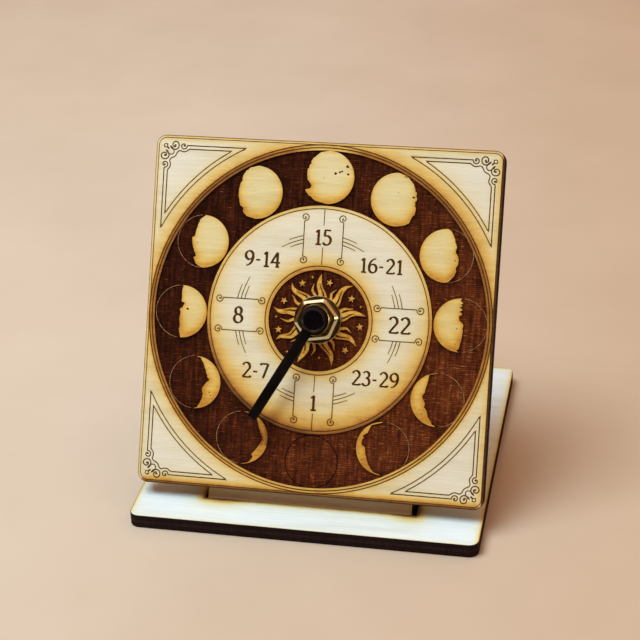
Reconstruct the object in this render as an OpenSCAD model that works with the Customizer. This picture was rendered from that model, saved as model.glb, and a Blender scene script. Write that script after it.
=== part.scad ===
// Moon phase desk clock: a square plywood dial that leans back on a square
// plywood base, with one hand driven by a small battery movement behind it.
// Millimetres. Origin at the centre of the base's underside, +Z up, the dial
// faces -Y and leans back towards +Y.

/* [Dial and stand] */
// Side of the square dial plate
plate_w = 100; // [96:1:110]
// Thickness of the plywood in the dial, the backing plate and the base
ply_t = 4; // [3.5:0.1:4.2]
// Corner radius of the dial plate and the base
corner_r = 3; // [1:0.5:8]
// Side of the square base
base_w = 100; // [96:1:120]
// How far the dial leans back from upright, in degrees
lean = 26.5; // [24:0.5:28]
// Height of the dial's lower front edge above the base
plate_gap = 4.36; // [4:0.1:6]
// Distance of the dial's lower front edge behind the base's front edge
plate_setback = 10.9; // [8:0.5:14]
// Width of the backing plate and of its tab in the base
tab_w = 59.5; // [50:0.5:70]
// How far the backing plate reaches above the dial's centre
backing_up = 34; // [30:1:44]
// Radius of the hole for the threaded bush in both plates
centre_hole_r = 4.2; // [4.15:0.05:4.6]

/* [Hand and fixing] */
// Length of the hand from its centre to its square tip
hand_len = 33; // [20:0.5:40]
// Width of the hand beside its hub
hand_root_w = 3; // [2:0.1:6]
// Width of the hand at its tip
hand_tip_w = 2.9; // [1.5:0.1:4]
// Thickness of the hand's blade
hand_t = 0.6; // [0.4:0.1:0.8]
// Angle of the hand at rest, clockwise from the top of the dial, in degrees
hand_angle = 209.5; // [0:0.5:359]
// Width across the flats of the fixing nut
nut_af = 11.3; // [11:0.1:12.5]
// Height of the fixing nut
nut_h = 2.5; // [2:0.1:3]
// Outer radius of the brass washer under the nut
washer_r = 6.8; // [6.6:0.1:9]

/* [Movement] */
// Width and height of the movement's case
case_w = 56; // [56:0.5:58]
// Depth of the movement's case
case_d = 16; // [16:0.5:18]
// Corner radius of the movement's case
case_r = 4; // [2:0.5:6]
// Wall of the case's sides
case_wall = 1.4; // [1:0.1:1.6]
// Front wall of the case
case_front = 1.2; // [1:0.1:1.4]
// Thickness of the rubber washer between movement and backing plate
rubber_t = 1; // [0.8:0.1:1.2]
// Diameter of the battery
battery_d = 14.5; // [14.5:0.1:14.6]
// Length of the battery over its contact nub
battery_len = 50.5; // [49.5:0.1:50.5]
// Outer radius of the setting knob
knob_r = 8; // [6:0.5:9]

/* [Gears] */
// Tooth module of the hand's wheel, the second wheel and the setting pinion
mod_a = 0.3; // [0.3:0.01:0.3]
// Tooth module of the first wheel and the rotor's pinion
mod_b = 0.25; // [0.25:0.01:0.25]
// Teeth of the wheel on the hand's arbor
moon_z = 60; // [60]
// Teeth of the second wheel and of the first wheel
wheel_z = 50; // [50]
// Teeth of the second wheel's pinion
pinion_a_z = 12; // [12]
// Teeth of the first wheel's pinion and of the rotor's pinion
pinion_b_z = 10; // [10]
// Teeth of the setting pinion
setting_z = 20; // [20]

/* [Hidden] */
$fn = 72;
eps = 0.02;

// the dial's centre on its front face
edge_y = -base_w / 2 + plate_setback;
edge_z = ply_t + plate_gap;
dial_y = edge_y + plate_w / 2 * sin(lean);
dial_z = edge_z + plate_w / 2 * cos(lean);

// depths behind the dial's front face, along the dial's own normal
case_z = -(2 * ply_t + rubber_t);       // front face of the movement's case
back_z = case_z - case_d;               // rear face of the case
half = case_w / 2;

// lower end of the tab: its rear corner is just above the base's underside
tab_foot_z = 0.15;
tab_y0 = (tab_foot_z - dial_z + 2 * ply_t * sin(lean)) / cos(lean);
// the slot's walls stand upright: front wall at the tab's front corner, rear
// wall where the tab's back passes the base's top
slot_front = dial_y + tab_y0 * sin(lean) + ply_t * cos(lean) - 0.1;
slot_back = dial_y + (ply_t + 2 * ply_t * sin(lean) - dial_z) / cos(lean) * sin(lean)
            + 2 * ply_t * cos(lean) + 0.04;

// arbors, seen from the front, from the hand's own axis
mesh_a = mod_a * (moon_z + pinion_a_z) / 2;
mesh_b = mod_a * (wheel_z + pinion_b_z) / 2;
mesh_c = mod_b * (wheel_z + pinion_b_z) / 2;
mesh_s = mod_a * (moon_z + setting_z) / 2;
dir_a = 30;    // from the hand's arbor to the second arbor
dir_b = 100;   // from the second arbor to the first arbor
dir_c = 165;   // from the first arbor to the rotor
dir_s = 186;   // from the hand's arbor to the setting shaft
second_p = mesh_a * [cos(dir_a), sin(dir_a)];
first_p = second_p + mesh_b * [cos(dir_b), sin(dir_b)];
rotor_p = first_p + mesh_c * [cos(dir_c), sin(dir_c)];
setting_p = mesh_s * [cos(dir_s), sin(dir_s)];

// battery bay along the lower side of the case
bay_lo = -half + case_wall + 0.1;
bay_hi = bay_lo + battery_d + 0.7;
battery_y = (bay_lo + bay_hi) / 2;
battery_z = case_z - case_front - 0.35 - battery_d / 2;
bay_x = half - case_wall;

// coil beside the rotor
coil_p = [-17.5, 13];

// posts that carry the bridge
posts = [[-24, 24.2], [13, 24], [13, -7.5]];

ply = [0.92, 0.85, 0.68];
dark_ply = [0.93, 0.87, 0.72];
brass = [0.83, 0.66, 0.33];
steel = [0.75, 0.75, 0.77];
black = [0.05, 0.05, 0.055];

// places its children in the dial's own frame: x right, y up the dial, z out of its front
module on_dial() {
    translate([0, dial_y, dial_z]) rotate([90 - lean, 0, 0]) children();
}

// square outline with round corners, from exact circles and rectangles
module round_rect(w, h, r) {
    union() {
        square([w - 2 * r, h], center = true);
        square([w, h - 2 * r], center = true);
        for (sx = [-1, 1]) for (sy = [-1, 1])
            translate([sx * (w / 2 - r), sy * (h / 2 - r)]) circle(r);
    }
}

// ring from z0 to z1
module tube(ro, ri, z0, z1) {
    translate([0, 0, z0]) difference() {
        cylinder(h = z1 - z0, r = ro);
        translate([0, 0, -1]) cylinder(h = z1 - z0 + 2, r = ri);
    }
}

module rod(r, z0, z1) {
    translate([0, 0, z0]) cylinder(h = z1 - z0, r = r);
}

// one tooth at a time: root, pitch line, tip, tip, pitch line, root
function gear_pts(z, m) = let (
    rp = m * z / 2, ad = 0.83 * m, de = 1.2 * m, tt = 1.1 * m,
    ra = rp + ad, rr = rp - de, t = tan(20), k = 180 / PI,
    hr = min((tt / 2 + de * t) / rr * k, 180 / z * 0.98),
    hp = tt / 2 / rp * k, ha = (tt / 2 - ad * t * 1.15) / ra * k)
    [for (i = [0 : z - 1]) let (a = 360 * i / z)
        for (q = [[rr, -hr], [rp, -hp], [ra, -ha], [ra, ha], [rp, hp], [rr, hr]])
            q[0] * [cos(a + q[1]), sin(a + q[1])]];

module gear(z, m, z0, z1, turn) {
    translate([0, 0, z0]) rotate([0, 0, turn])
        linear_extrude(height = z1 - z0) polygon(gear_pts(z, m));
}

// ---------------------------------------------------------------- stand

module base_plate() {
    color(ply) difference() {
        linear_extrude(height = ply_t) round_rect(base_w, base_w, corner_r);
        translate([-tab_w / 2 - 0.4, slot_front, -1])
            cube([tab_w + 1.7, slot_back - slot_front, ply_t + 2]);
    }
}

module face_plate() {
    color(dark_ply) on_dial() difference() {
        translate([0, 0, -ply_t]) linear_extrude(height = ply_t)
            round_rect(plate_w, plate_w, corner_r);
        rod(centre_hole_r, -ply_t - 1, 1);
    }
}

module backing_plate() {
    color(ply) on_dial() difference() {
        translate([-tab_w / 2, tab_y0, -2 * ply_t])
            cube([tab_w, backing_up - tab_y0, ply_t]);
        rod(centre_hole_r, -2 * ply_t - 1, -ply_t + 1);
    }
}

// ------------------------------------------------------- fixing, in front

module brass_washer() {
    color(brass) on_dial() tube(washer_r, 4.15, 0, 0.6);
}

module hex_nut() {
    color(brass) on_dial() translate([0, 0, 0.6]) difference() {
        // the bevel runs along all six sides of the top
        rotate([0, 0, 9.5]) union() {
            cylinder(h = nut_h - 0.55, r = nut_af / 2 / cos(30), $fn = 6);
            translate([0, 0, nut_h - 0.55]) cylinder(h = 0.55, r1 = nut_af / 2 / cos(30),
                r2 = (nut_af / 2 - 0.8) / cos(30), $fn = 6);
        }
        rod(4.03, -1, nut_h + 1);
        // countersunk bore
        translate([0, 0, nut_h - 0.5]) cylinder(h = 0.6, r1 = 4.03, r2 = 4.65);
    }
}

// flange inside the case, long threaded neck through both plates
module threaded_bush() {
    color(brass) on_dial() difference() {
        union() {
            rod(4, case_z - case_front - 0.3, 4);
            rod(5.4, case_z - case_front - 0.6, case_z - case_front);
        }
        rod(2.6, case_z - 5, 5);
    }
}

module rubber_washer() {
    color(black) on_dial() tube(8.5, 4.25, case_z, case_z + rubber_t);
}

// -------------------------------------------------------------- movement

module movement_case() {
    color(black) on_dial() difference() {
        union() {
            difference() {
                translate([0, 0, back_z]) linear_extrude(height = case_d)
                    round_rect(case_w, case_w, case_r);
                // train space above the battery bay, up to the back cover
                translate([0, 0, back_z - 1]) linear_extrude(height = case_d + 1 - case_front)
                    difference() {
                        round_rect(case_w - 2 * case_wall, case_w - 2 * case_wall, case_r - case_wall);
                        translate([-half, -half]) square([case_w, bay_hi + half + 1.2]);
                    }
                // battery bay, open to the rear
                translate([-bay_x, bay_lo, back_z - 1])
                    cube([2 * bay_x, bay_hi - bay_lo, case_d + 1 - case_front]);
                // slots that let the contacts' tails into the train space
                for (s = [-1, 1]) translate([s * (bay_x - 0.25) - 0.25, bay_hi - 0.1, case_z - 13.2])
                    cube([0.5, 1.5, 2.4]);
                // finger notch in the lower wall
                translate([-9, -half - 1, back_z - 1]) cube([18, case_wall + 2, 7]);
            }
            // three posts that carry the bridge
            for (p = posts)
                translate([p[0], p[1], 0]) rod(1.8, case_z - 13.2, case_z - case_front + 0.1);
            // bearing bosses of the second and first arbors and the rotor
            for (p = [first_p, rotor_p])
                translate([p[0], p[1], 0]) rod(1.3, case_z - 4, case_z - case_front + 0.1);
        }
        rod(4.05, case_z - 5, case_z + 1);
        // blind bearing holes, and the seat of the setting shaft
        translate([second_p[0], second_p[1], 0]) rod(0.55, case_z - 5, case_z - 0.5);
        translate([first_p[0], first_p[1], 0]) rod(0.55, case_z - 5, case_z - 0.5);
        translate([rotor_p[0], rotor_p[1], 0]) rod(0.45, case_z - 5, case_z - 0.5);
        translate([setting_p[0], setting_p[1], 0]) rod(1.05, case_z - 5, case_z - 0.5);
    }
}

module back_cover() {
    color([0.07, 0.07, 0.075]) on_dial() difference() {
        translate([0, 0, back_z]) linear_extrude(height = 1.3) intersection() {
            round_rect(case_w - 2 * case_wall - 0.2, case_w - 2 * case_wall - 0.2, case_r - case_wall);
            translate([-half, bay_hi + 1.3]) square([case_w, case_w]);
        }
        // hole for the setting shaft
        translate([setting_p[0], setting_p[1], 0]) rod(1.6, back_z - 1, back_z + 3);
    }
}

// plate with the rear bearings of the train, on the three posts
module train_bridge() {
    color([0.85, 0.85, 0.83]) on_dial() difference() {
        translate([0, 0, case_z - 14.2]) linear_extrude(height = 1) union() {
            translate([-14.2, -4.2]) square([26.2, 30.4]);
            translate([9, -9.5]) square([6.2, 35.7]);
            translate([-25.4, 22.4]) square([14, 3.2]);
        }
        rod(1.05, case_z - 16, case_z);
        translate([second_p[0], second_p[1], 0]) rod(0.55, case_z - 16, case_z);
        translate([first_p[0], first_p[1], 0]) rod(0.55, case_z - 16, case_z);
        translate([rotor_p[0], rotor_p[1], 0]) rod(0.45, case_z - 16, case_z);
        translate([setting_p[0], setting_p[1], 0]) rod(1.55, case_z - 16, case_z);
    }
}

// the hand's arbor: a pipe-sized nose in the bush and a thin rear pivot
module moon_arbor() {
    color(brass) on_dial() union() {
        rod(2.55, case_z - 3.6, 5.6);
        rod(1, case_z - 14.4, case_z - 3.4);
    }
}

module moon_wheel() {
    color([0.9, 0.88, 0.8]) on_dial() difference() {
        gear(moon_z, mod_a, case_z - 3.2, case_z - 2, dir_a);
        rod(2.56, case_z - 5, case_z);
    }
}

module hand_hub() {
    color(black) on_dial() tube(3.8, 2.56, 4.3, 5.2);
}

module moon_hand() {
    color(black) on_dial() rotate([0, 0, -hand_angle]) translate([0, 0, 5.2]) difference() {
        linear_extrude(height = hand_t) union() {
            circle(4.1);
            polygon([[-hand_root_w / 2, 0], [hand_root_w / 2, 0],
                     [hand_tip_w / 2, hand_len], [-hand_tip_w / 2, hand_len]]);
        }
        rod(2.56, -1, hand_t + 1);
    }
}

// cap over the end of the arbor
module hub_cap() {
    color(black) on_dial() difference() {
        translate([0, 0, 5.2 + hand_t]) rotate_extrude() polygon([[0, 0], [3.5, 0], [3.5, 1.3],
            [3.1, 1.6], [2.6, 1.6], [2.3, 1.4], [0, 1.4]]);
        rod(2.56, 5, 6.3);
    }
}

module second_wheel() {
    color([0.95, 0.93, 0.88]) on_dial() translate([second_p[0], second_p[1], 0]) difference() {
        union() {
            gear(wheel_z, mod_a, case_z - 5.6, case_z - 4.6, dir_b);
            gear(pinion_a_z, mod_a, case_z - 4.6 - eps, case_z - 1.8, dir_a + 180 + 180 / pinion_a_z);
        }
        rod(0.52, case_z - 7, case_z);
    }
}

module second_arbor() {
    color(steel) on_dial() translate([second_p[0], second_p[1], 0])
        rod(0.5, case_z - 14.1, case_z - 0.7);
}

module first_wheel() {
    color([0.95, 0.93, 0.88]) on_dial() translate([first_p[0], first_p[1], 0]) difference() {
        union() {
            gear(wheel_z, mod_b, case_z - 7.6, case_z - 6.8, dir_c);
            gear(pinion_b_z, mod_a, case_z - 6.8 - eps, case_z - 4.3, dir_b + 180 + 180 / pinion_b_z);
        }
        rod(0.52, case_z - 9, case_z);
    }
}

module first_arbor() {
    color(steel) on_dial() translate([first_p[0], first_p[1], 0])
        rod(0.5, case_z - 14.1, case_z - 0.7);
}

module rotor_magnet() {
    color([0.25, 0.25, 0.27]) on_dial() translate([rotor_p[0], rotor_p[1], 0])
        tube(2.6, 0.62, case_z - 11, case_z - 9);
}

// plastic pinion and shaft in one, with the magnet pressed on
module rotor_pinion() {
    color([0.95, 0.93, 0.88]) on_dial() translate([rotor_p[0], rotor_p[1], 0]) union() {
        gear(pinion_b_z, mod_b, case_z - 8.4, case_z - 6.4, dir_c + 180 + 180 / pinion_b_z);
        rod(0.6, case_z - 11.4, case_z - 6.5);
        rod(0.4, case_z - 14.1, case_z - 0.7);
    }
}

// flat two-armed core piece: the arms run from the coil's ends to the rotor
module stator() {
    color(steel) on_dial() difference() {
        translate([0, 0, case_z - 10.6]) linear_extrude(height = 1) union() {
            polygon([[-8, 21.3], [-4.6, 16.5], [5.2, 16.5], [5.2, 20.6], [-6, 24.4], [-20, 24.4], [-20, 21.3]]);
            polygon([[-20, 4.7], [-20, 1.6], [-8, 1.6], [5.2, 11.2], [5.2, 15.9], [-4.6, 15.9], [-9, 4.7]]);
            // the coil's core joins the two arms
            translate([coil_p[0] - 1.2, 3]) square([2.4, 20]);
            // thin necks beside the rotor join the arms round its hole
            translate([rotor_p[0], rotor_p[1]]) circle(4);
        }
        translate([rotor_p[0], rotor_p[1], 0]) rod(3.1, case_z - 12, case_z - 9);
    }
}

// plastic bobbin on the coil's core, standing along the case
module coil_bobbin() {
    color([0.9, 0.9, 0.88]) on_dial() translate([coil_p[0], coil_p[1], case_z - 10.1])
        rotate([90, 0, 0]) difference() {
            union() {
                translate([0, 0, -8]) cylinder(h = 16, r = 1.9);
                for (s = [-1, 1]) translate([0, 0, s * 7.6 - 0.5]) cylinder(h = 1, r = 3.4);
            }
            translate([-1.25, -0.55, -9]) cube([2.5, 1.1, 18]);
        }
}

module coil_winding() {
    color([0.72, 0.38, 0.16]) on_dial() translate([coil_p[0], coil_p[1], case_z - 10.1])
        rotate([90, 0, 0]) difference() {
            translate([0, 0, -7.1]) cylinder(h = 14.2, r = 3.1);
            translate([0, 0, -9]) cylinder(h = 18, r = 1.9);
        }
}

module circuit_board() {
    color([0.12, 0.42, 0.22]) on_dial() difference() {
        translate([16, -9, case_z - 12.2]) cube([10.2, 33, 1]);
        translate([13, -7.5, 0]) rod(2.2, case_z - 13, case_z - 10);
    }
}

module control_chip() {
    color([0.03, 0.03, 0.03]) on_dial() translate([21, 12, case_z - 11.2])
        cylinder(h = 1, r1 = 3, r2 = 2.2, $fn = 48);
}

module quartz_crystal() {
    color(steel) on_dial() translate([19.2, -3, case_z - 10.15]) rotate([-90, 0, 0]) union() {
        cylinder(h = 6, r = 1);
        translate([0, 0, -0.3]) cylinder(h = 0.4, r = 0.8);
    }
}

// flat strip at the bay's right end, with a tail up to the board
module positive_contact() {
    color(brass) on_dial() union() {
        translate([bay_x - 0.4, bay_lo + 2, battery_z - 4]) cube([0.35, bay_hi - bay_lo - 2 - 0.1, 8]);
        translate([bay_x - 0.4, bay_hi - 1, case_z - 12.8]) cube([0.35, 7, 1.8]);
        translate([bay_x - 0.9, battery_y - 2.2, battery_z - 2.2]) cube([0.55, 4.4, 4.4]);
    }
}

// leaf at the bay's left end that presses on the battery's flat end
module negative_contact() {
    color(steel) on_dial() union() {
        translate([-bay_x + 0.05, bay_lo + 2, battery_z - 4]) cube([0.35, bay_hi - bay_lo - 2 - 0.1, 8]);
        translate([-bay_x + 0.05, bay_hi - 1, case_z - 12.8]) cube([0.35, 2.6, 1.8]);
        translate([-bay_x + 0.05, bay_hi + 1.25, case_z - 12.8]) cube([45, 0.35, 1.8]);
        translate([-bay_x + 0.35, battery_y, battery_z]) rotate([0, 90, 0]) cylinder(h = 0.5, r = 4);
        translate([-bay_x + 0.8, battery_y, battery_z]) rotate([0, 90, 0]) cylinder(h = 0.35, r = 2.6);
    }
}

module battery() {
    color([0.13, 0.14, 0.15]) on_dial()
        translate([bay_x - 0.95 - battery_len, battery_y, battery_z]) rotate([0, 90, 0]) union() {
            rotate_extrude() polygon([[0, 0.2], [3.6, 0.2], [4.2, 0], [battery_d / 2 - 0.5, 0],
                [battery_d / 2, 0.5], [battery_d / 2, battery_len - 1.8],
                [battery_d / 2 - 0.6, battery_len - 1.2], [0, battery_len - 1.2]]);
            translate([0, 0, battery_len - 1.3]) cylinder(h = 1.3, r = 2.75);
        }
}

// ribbed thumb knob behind the cover, on a stem through cover and bridge
module setting_knob() {
    color([0.1, 0.1, 0.105]) on_dial() translate([setting_p[0], setting_p[1], 0]) union() {
        difference() {
            rod(knob_r, back_z - 3, back_z - 0.4);
            for (i = [0 : 19]) rotate([0, 0, i * 18]) translate([knob_r + 0.25, 0, 0])
                rod(0.75, back_z - 4, back_z + 1);
        }
        rod(1.5, back_z - 0.6, case_z - 12);
        rod(1, back_z - 0.6, case_z - 0.7);
    }
}

module setting_pinion() {
    color([0.9, 0.88, 0.8]) on_dial() translate([setting_p[0], setting_p[1], 0]) difference() {
        gear(setting_z, mod_a, case_z - 3.4, case_z - 1.8, dir_s + 180 + 180 / setting_z);
        rod(1.01, case_z - 5, case_z);
    }
}

base_plate();
face_plate();
backing_plate();
brass_washer();
hex_nut();
threaded_bush();
rubber_washer();
movement_case();
back_cover();
train_bridge();
moon_arbor();
moon_wheel();
hand_hub();
moon_hand();
hub_cap();
second_wheel();
second_arbor();
first_wheel();
first_arbor();
rotor_magnet();
rotor_pinion();
stator();
coil_bobbin();
coil_winding();
circuit_board();
control_chip();
quartz_crystal();
positive_contact();
negative_contact();
battery();
setting_knob();
setting_pinion();
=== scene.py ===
import bpy, bmesh, math, random
import numpy as np
from mathutils import Matrix, Vector
from mathutils.geometry import delaunay_2d_cdt
from mathutils.kdtree import KDTree


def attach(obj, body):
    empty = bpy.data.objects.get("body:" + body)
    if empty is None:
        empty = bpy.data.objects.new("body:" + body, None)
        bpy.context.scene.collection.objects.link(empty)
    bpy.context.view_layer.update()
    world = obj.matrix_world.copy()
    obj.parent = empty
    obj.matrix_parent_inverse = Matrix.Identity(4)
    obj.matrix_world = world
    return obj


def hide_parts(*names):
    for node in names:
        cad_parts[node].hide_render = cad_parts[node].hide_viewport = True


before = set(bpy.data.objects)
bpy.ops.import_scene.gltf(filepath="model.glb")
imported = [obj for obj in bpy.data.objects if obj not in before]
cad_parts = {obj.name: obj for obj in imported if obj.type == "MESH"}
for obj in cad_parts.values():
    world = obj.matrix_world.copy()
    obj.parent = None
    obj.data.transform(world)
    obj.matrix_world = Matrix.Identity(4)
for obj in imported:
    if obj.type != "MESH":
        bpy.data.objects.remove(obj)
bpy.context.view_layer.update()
SC = bpy.context.scene
COL = SC.collection
MM = 0.001

# ------------------------------------------------------------------ layout
PLY = 4.0
PLATE = 100.0
CORNER = 3.0
LEAN = math.radians(26.5)
SL, CL = math.sin(LEAN), math.cos(LEAN)
DIAL_Y = -50 + 10.9 + 50 * SL
DIAL_Z = 4 + 4.36 + 50 * CL
# dial frame: x right, y up the dial, z out of its front
DIAL = Matrix(((1, 0, 0, 0),
               (0, SL, -CL, DIAL_Y * MM),
               (0, CL, SL, DIAL_Z * MM),
               (0, 0, 0, 1)))
CASE_Z = -9.0
BACK_Z = -25.0


def srgb(r, g, b, a=1.0):
    def f(c):
        c /= 255.0
        return c / 12.92 if c <= 0.04045 else ((c + 0.055) / 1.055) ** 2.4
    return (f(r), f(g), f(b), a)


# ------------------------------------------------------------------ camera
CAM_R = [[0.980895, 0.192651, -0.02703], [0.066854, -0.4643, -0.883151], [-0.18269, 0.864471, -0.468309]]
CAM_C = [91.1458, -445.1669, 285.1418]
CAM_F = 1754.517
cam_data = bpy.data.cameras.new("camera")
cam = bpy.data.objects.new("camera", cam_data)
COL.objects.link(cam)
SC.camera = cam
rx, ry, rz = CAM_R
m = Matrix(((rx[0], -ry[0], -rz[0], CAM_C[0] * MM),
            (rx[1], -ry[1], -rz[1], CAM_C[1] * MM),
            (rx[2], -ry[2], -rz[2], CAM_C[2] * MM),
            (0, 0, 0, 1)))
cam.matrix_world = m
cam_data.sensor_fit = "HORIZONTAL"
cam_data.sensor_width = 36.0
cam_data.lens = CAM_F / 640.0 * 36.0
cam_data.clip_start = 0.01
cam_data.clip_end = 20.0


# --------------------------------------------------------------- node helpers
class Mat:
    """Small helper to write procedural materials."""

    def __init__(self, name):
        self.m = bpy.data.materials.new(name)
        self.m.use_nodes = True
        self.t = self.m.node_tree
        self.n = self.t.nodes
        self.bsdf = self.n["Principled BSDF"]

    def node(self, kind, **kw):
        nd = self.n.new(kind)
        ins = kw.pop("ins", {})
        for k, v in kw.items():
            setattr(nd, k, v)
        for k, v in ins.items():
            if isinstance(v, bpy.types.NodeSocket):
                self.t.links.new(v, nd.inputs[k])
            else:
                nd.inputs[k].default_value = v
        return nd

    def link(self, a, b):
        self.t.links.new(a, b)

    def coord(self, kind="Object"):
        return self.node("ShaderNodeTexCoord").outputs[kind]

    def mapping(self, vec, scale=(1, 1, 1), loc=(0, 0, 0), rot=(0, 0, 0)):
        return self.node("ShaderNodeMapping", ins={"Vector": vec, "Scale": scale, "Location": loc, "Rotation": rot}).outputs[0]

    def noise(self, vec, scale=5.0, detail=3.0, rough=0.55, dist=0.0):
        return self.node("ShaderNodeTexNoise", ins={"Vector": vec, "Scale": scale, "Detail": detail, "Roughness": rough, "Distortion": dist}).outputs["Fac"]

    def voronoi(self, vec, scale=5.0, feature="F1", out="Distance"):
        return self.node("ShaderNodeTexVoronoi", feature=feature, ins={"Vector": vec, "Scale": scale}).outputs[out]

    def math(self, op, a, b=0.0, c=0.0, clamp=False):
        nd = self.node("ShaderNodeMath", operation=op, use_clamp=clamp)
        for i, v in enumerate((a, b, c)):
            if isinstance(v, bpy.types.NodeSocket):
                self.link(v, nd.inputs[i])
            else:
                nd.inputs[i].default_value = v
        return nd.outputs[0]

    def ramp(self, fac, stops, interp="LINEAR"):
        nd = self.node("ShaderNodeValToRGB")
        nd.color_ramp.interpolation = interp
        els = nd.color_ramp.elements
        while len(els) > 2:
            els.remove(els[-1])
        els[0].position, els[0].color = stops[0]
        els[1].position, els[1].color = stops[1]
        for p, c in stops[2:]:
            e = els.new(p)
            e.color = c
        self.link(fac, nd.inputs[0])
        return nd.outputs[0]

    def grey(self, fac, lo, hi, p0=0.0, p1=1.0):
        return self.ramp(fac, [(p0, (lo, lo, lo, 1)), (p1, (hi, hi, hi, 1))])

    def mix(self, a, b, fac, kind="MIX"):
        nd = self.node("ShaderNodeMix", data_type="RGBA", blend_type=kind)
        for k, v in ((0, fac), (6, a), (7, b)):
            if isinstance(v, bpy.types.NodeSocket):
                self.link(v, nd.inputs[k])
            else:
                nd.inputs[k].default_value = v
        return nd.outputs[2]

    def attr(self, name, out="Fac"):
        return self.node("ShaderNodeAttribute", attribute_name=name).outputs[out]

    def sep(self, vec):
        nd = self.node("ShaderNodeSeparateXYZ", ins={"Vector": vec})
        return nd.outputs

    def bump(self, height, strength=0.3, distance=0.0002, normal=None):
        nd = self.node("ShaderNodeBump", ins={"Strength": strength, "Distance": distance, "Height": height})
        if normal is not None:
            self.link(normal, nd.inputs["Normal"])
        return nd.outputs[0]

    def set(self, **kw):
        for k, v in kw.items():
            k = k.replace("_", " ")
            s = self.bsdf.inputs[k]
            if isinstance(v, bpy.types.NodeSocket):
                self.link(v, s)
            else:
                s.default_value = v
        return self


# ------------------------------------------------------------------ materials
CREAM = srgb(240, 238, 222)


def wood_streaks(M, vec, along="x"):
    """Fine grain of rotary-cut birch: long thin streaks, short flecks and pores."""
    if along == "x":
        s1, s2, s3 = (55, 1500, 400), (160, 3600, 900), (26, 260, 120)
    else:
        s1, s2, s3 = (1500, 55, 400), (3600, 160, 900), (260, 26, 120)
    a = M.noise(M.mapping(vec, s1), 1.0, 4, 0.6)
    b = M.noise(M.mapping(vec, s2), 1.0, 3, 0.6)
    c = M.noise(M.mapping(vec, s3), 1.0, 3, 0.5, 0.4)
    return a, b, c


def birch(name, along="x", base=None, attr=None, gain=1.0, tone=None):
    """Bare birch face. attr names a vertex attribute that scorches it from gold to brown."""
    M = Mat(name)
    vec = M.coord()
    a, b, c = wood_streaks(M, vec, along)
    base = base or CREAM
    lo = (base[0] * 0.92, base[1] * 0.905, base[2] * 0.86, 1)
    hi = (min(base[0] * 1.03, 0.97), min(base[1] * 1.035, 0.97), min(base[2] * 1.06, 0.95), 1)
    col = M.ramp(c, [(0.3, lo), (0.5, base), (0.72, hi)])
    streak = M.grey(a, 0.95, 1.025, 0.32, 0.68)
    col = M.mix(col, streak, 1.0, "MULTIPLY")
    fine = M.grey(b, 0.93, 1.03, 0.3, 0.7)
    col = M.mix(col, fine, 1.0, "MULTIPLY")
    warp = M.node("ShaderNodeTexNoise", ins={"Vector": vec, "Scale": 45.0, "Detail": 2.0}).outputs["Color"]
    wv = M.node("ShaderNodeVectorMath", operation="MULTIPLY_ADD", ins={0: warp, 1: (0.0012, 0.0012, 0.0), 2: vec}).outputs[0]
    lines = M.node("ShaderNodeTexWave", wave_type="BANDS", bands_direction="Y" if along == "x" else "X", wave_profile="SIN",
                   ins={"Vector": wv, "Scale": 850.0, "Distortion": 1.0, "Detail": 2.0, "Detail Scale": 20.0}).outputs["Fac"]
    lines = M.math("MULTIPLY", lines, M.math("MULTIPLY", M.noise(M.mapping(vec, (60, 900, 300)), 1.0, 2, 0.5), 1.6), clamp=True)
    col = M.mix(col, M.grey(lines, 1.0, 0.90 if gain == 1.0 else 0.84, 0.1, 1.0), 1.0, "MULTIPLY")
    if attr:
        s = M.attr(attr)
        n1 = M.noise(vec, 260, 4, 0.6)
        n2 = M.noise(M.mapping(vec, (200, 1400, 400)), 1.0, 3, 0.6)
        v = M.math("ADD", M.math("MULTIPLY", M.math("SUBTRACT", n1, 0.5), 0.22), M.math("MULTIPLY", M.math("SUBTRACT", n2, 0.5), 0.20))
        # the noise only bites where there is some scorch
        v = M.math("MULTIPLY", v, M.math("MULTIPLY", M.math("MINIMUM", s, 0.5), 2.0 * gain))
        s = M.math("ADD", s, v, clamp=True)
        burn = M.ramp(s, [(0.0, (1, 1, 1, 1)), (0.12, (0.985, 0.93, 0.77, 1)), (0.22, (0.965, 0.83, 0.53, 1)), (0.30, (0.95, 0.735, 0.34, 1)), (0.38, (0.90, 0.62, 0.20, 1)),
                          (0.48, (0.79, 0.45, 0.11, 1)), (0.58, (0.61, 0.29, 0.065, 1)), (0.66, (0.45, 0.195, 0.045, 1)), (0.82, (0.19, 0.075, 0.022, 1)), (1.0, (0.050, 0.022, 0.010, 1))])
        col = M.mix(col, burn, 1.0, "MULTIPLY")
    M.set(Base_Color=col)
    rough = M.grey(a, 0.52, 0.66, 0.3, 0.7)
    M.set(Roughness=rough)
    M.bsdf.inputs["Specular IOR Level"].default_value = 0.35
    h = M.math("ADD", M.math("MULTIPLY", a, 0.7), M.math("MULTIPLY", b, 0.5))
    M.set(Normal=M.bump(h, 0.30, 0.00012))
    return M.m


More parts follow.
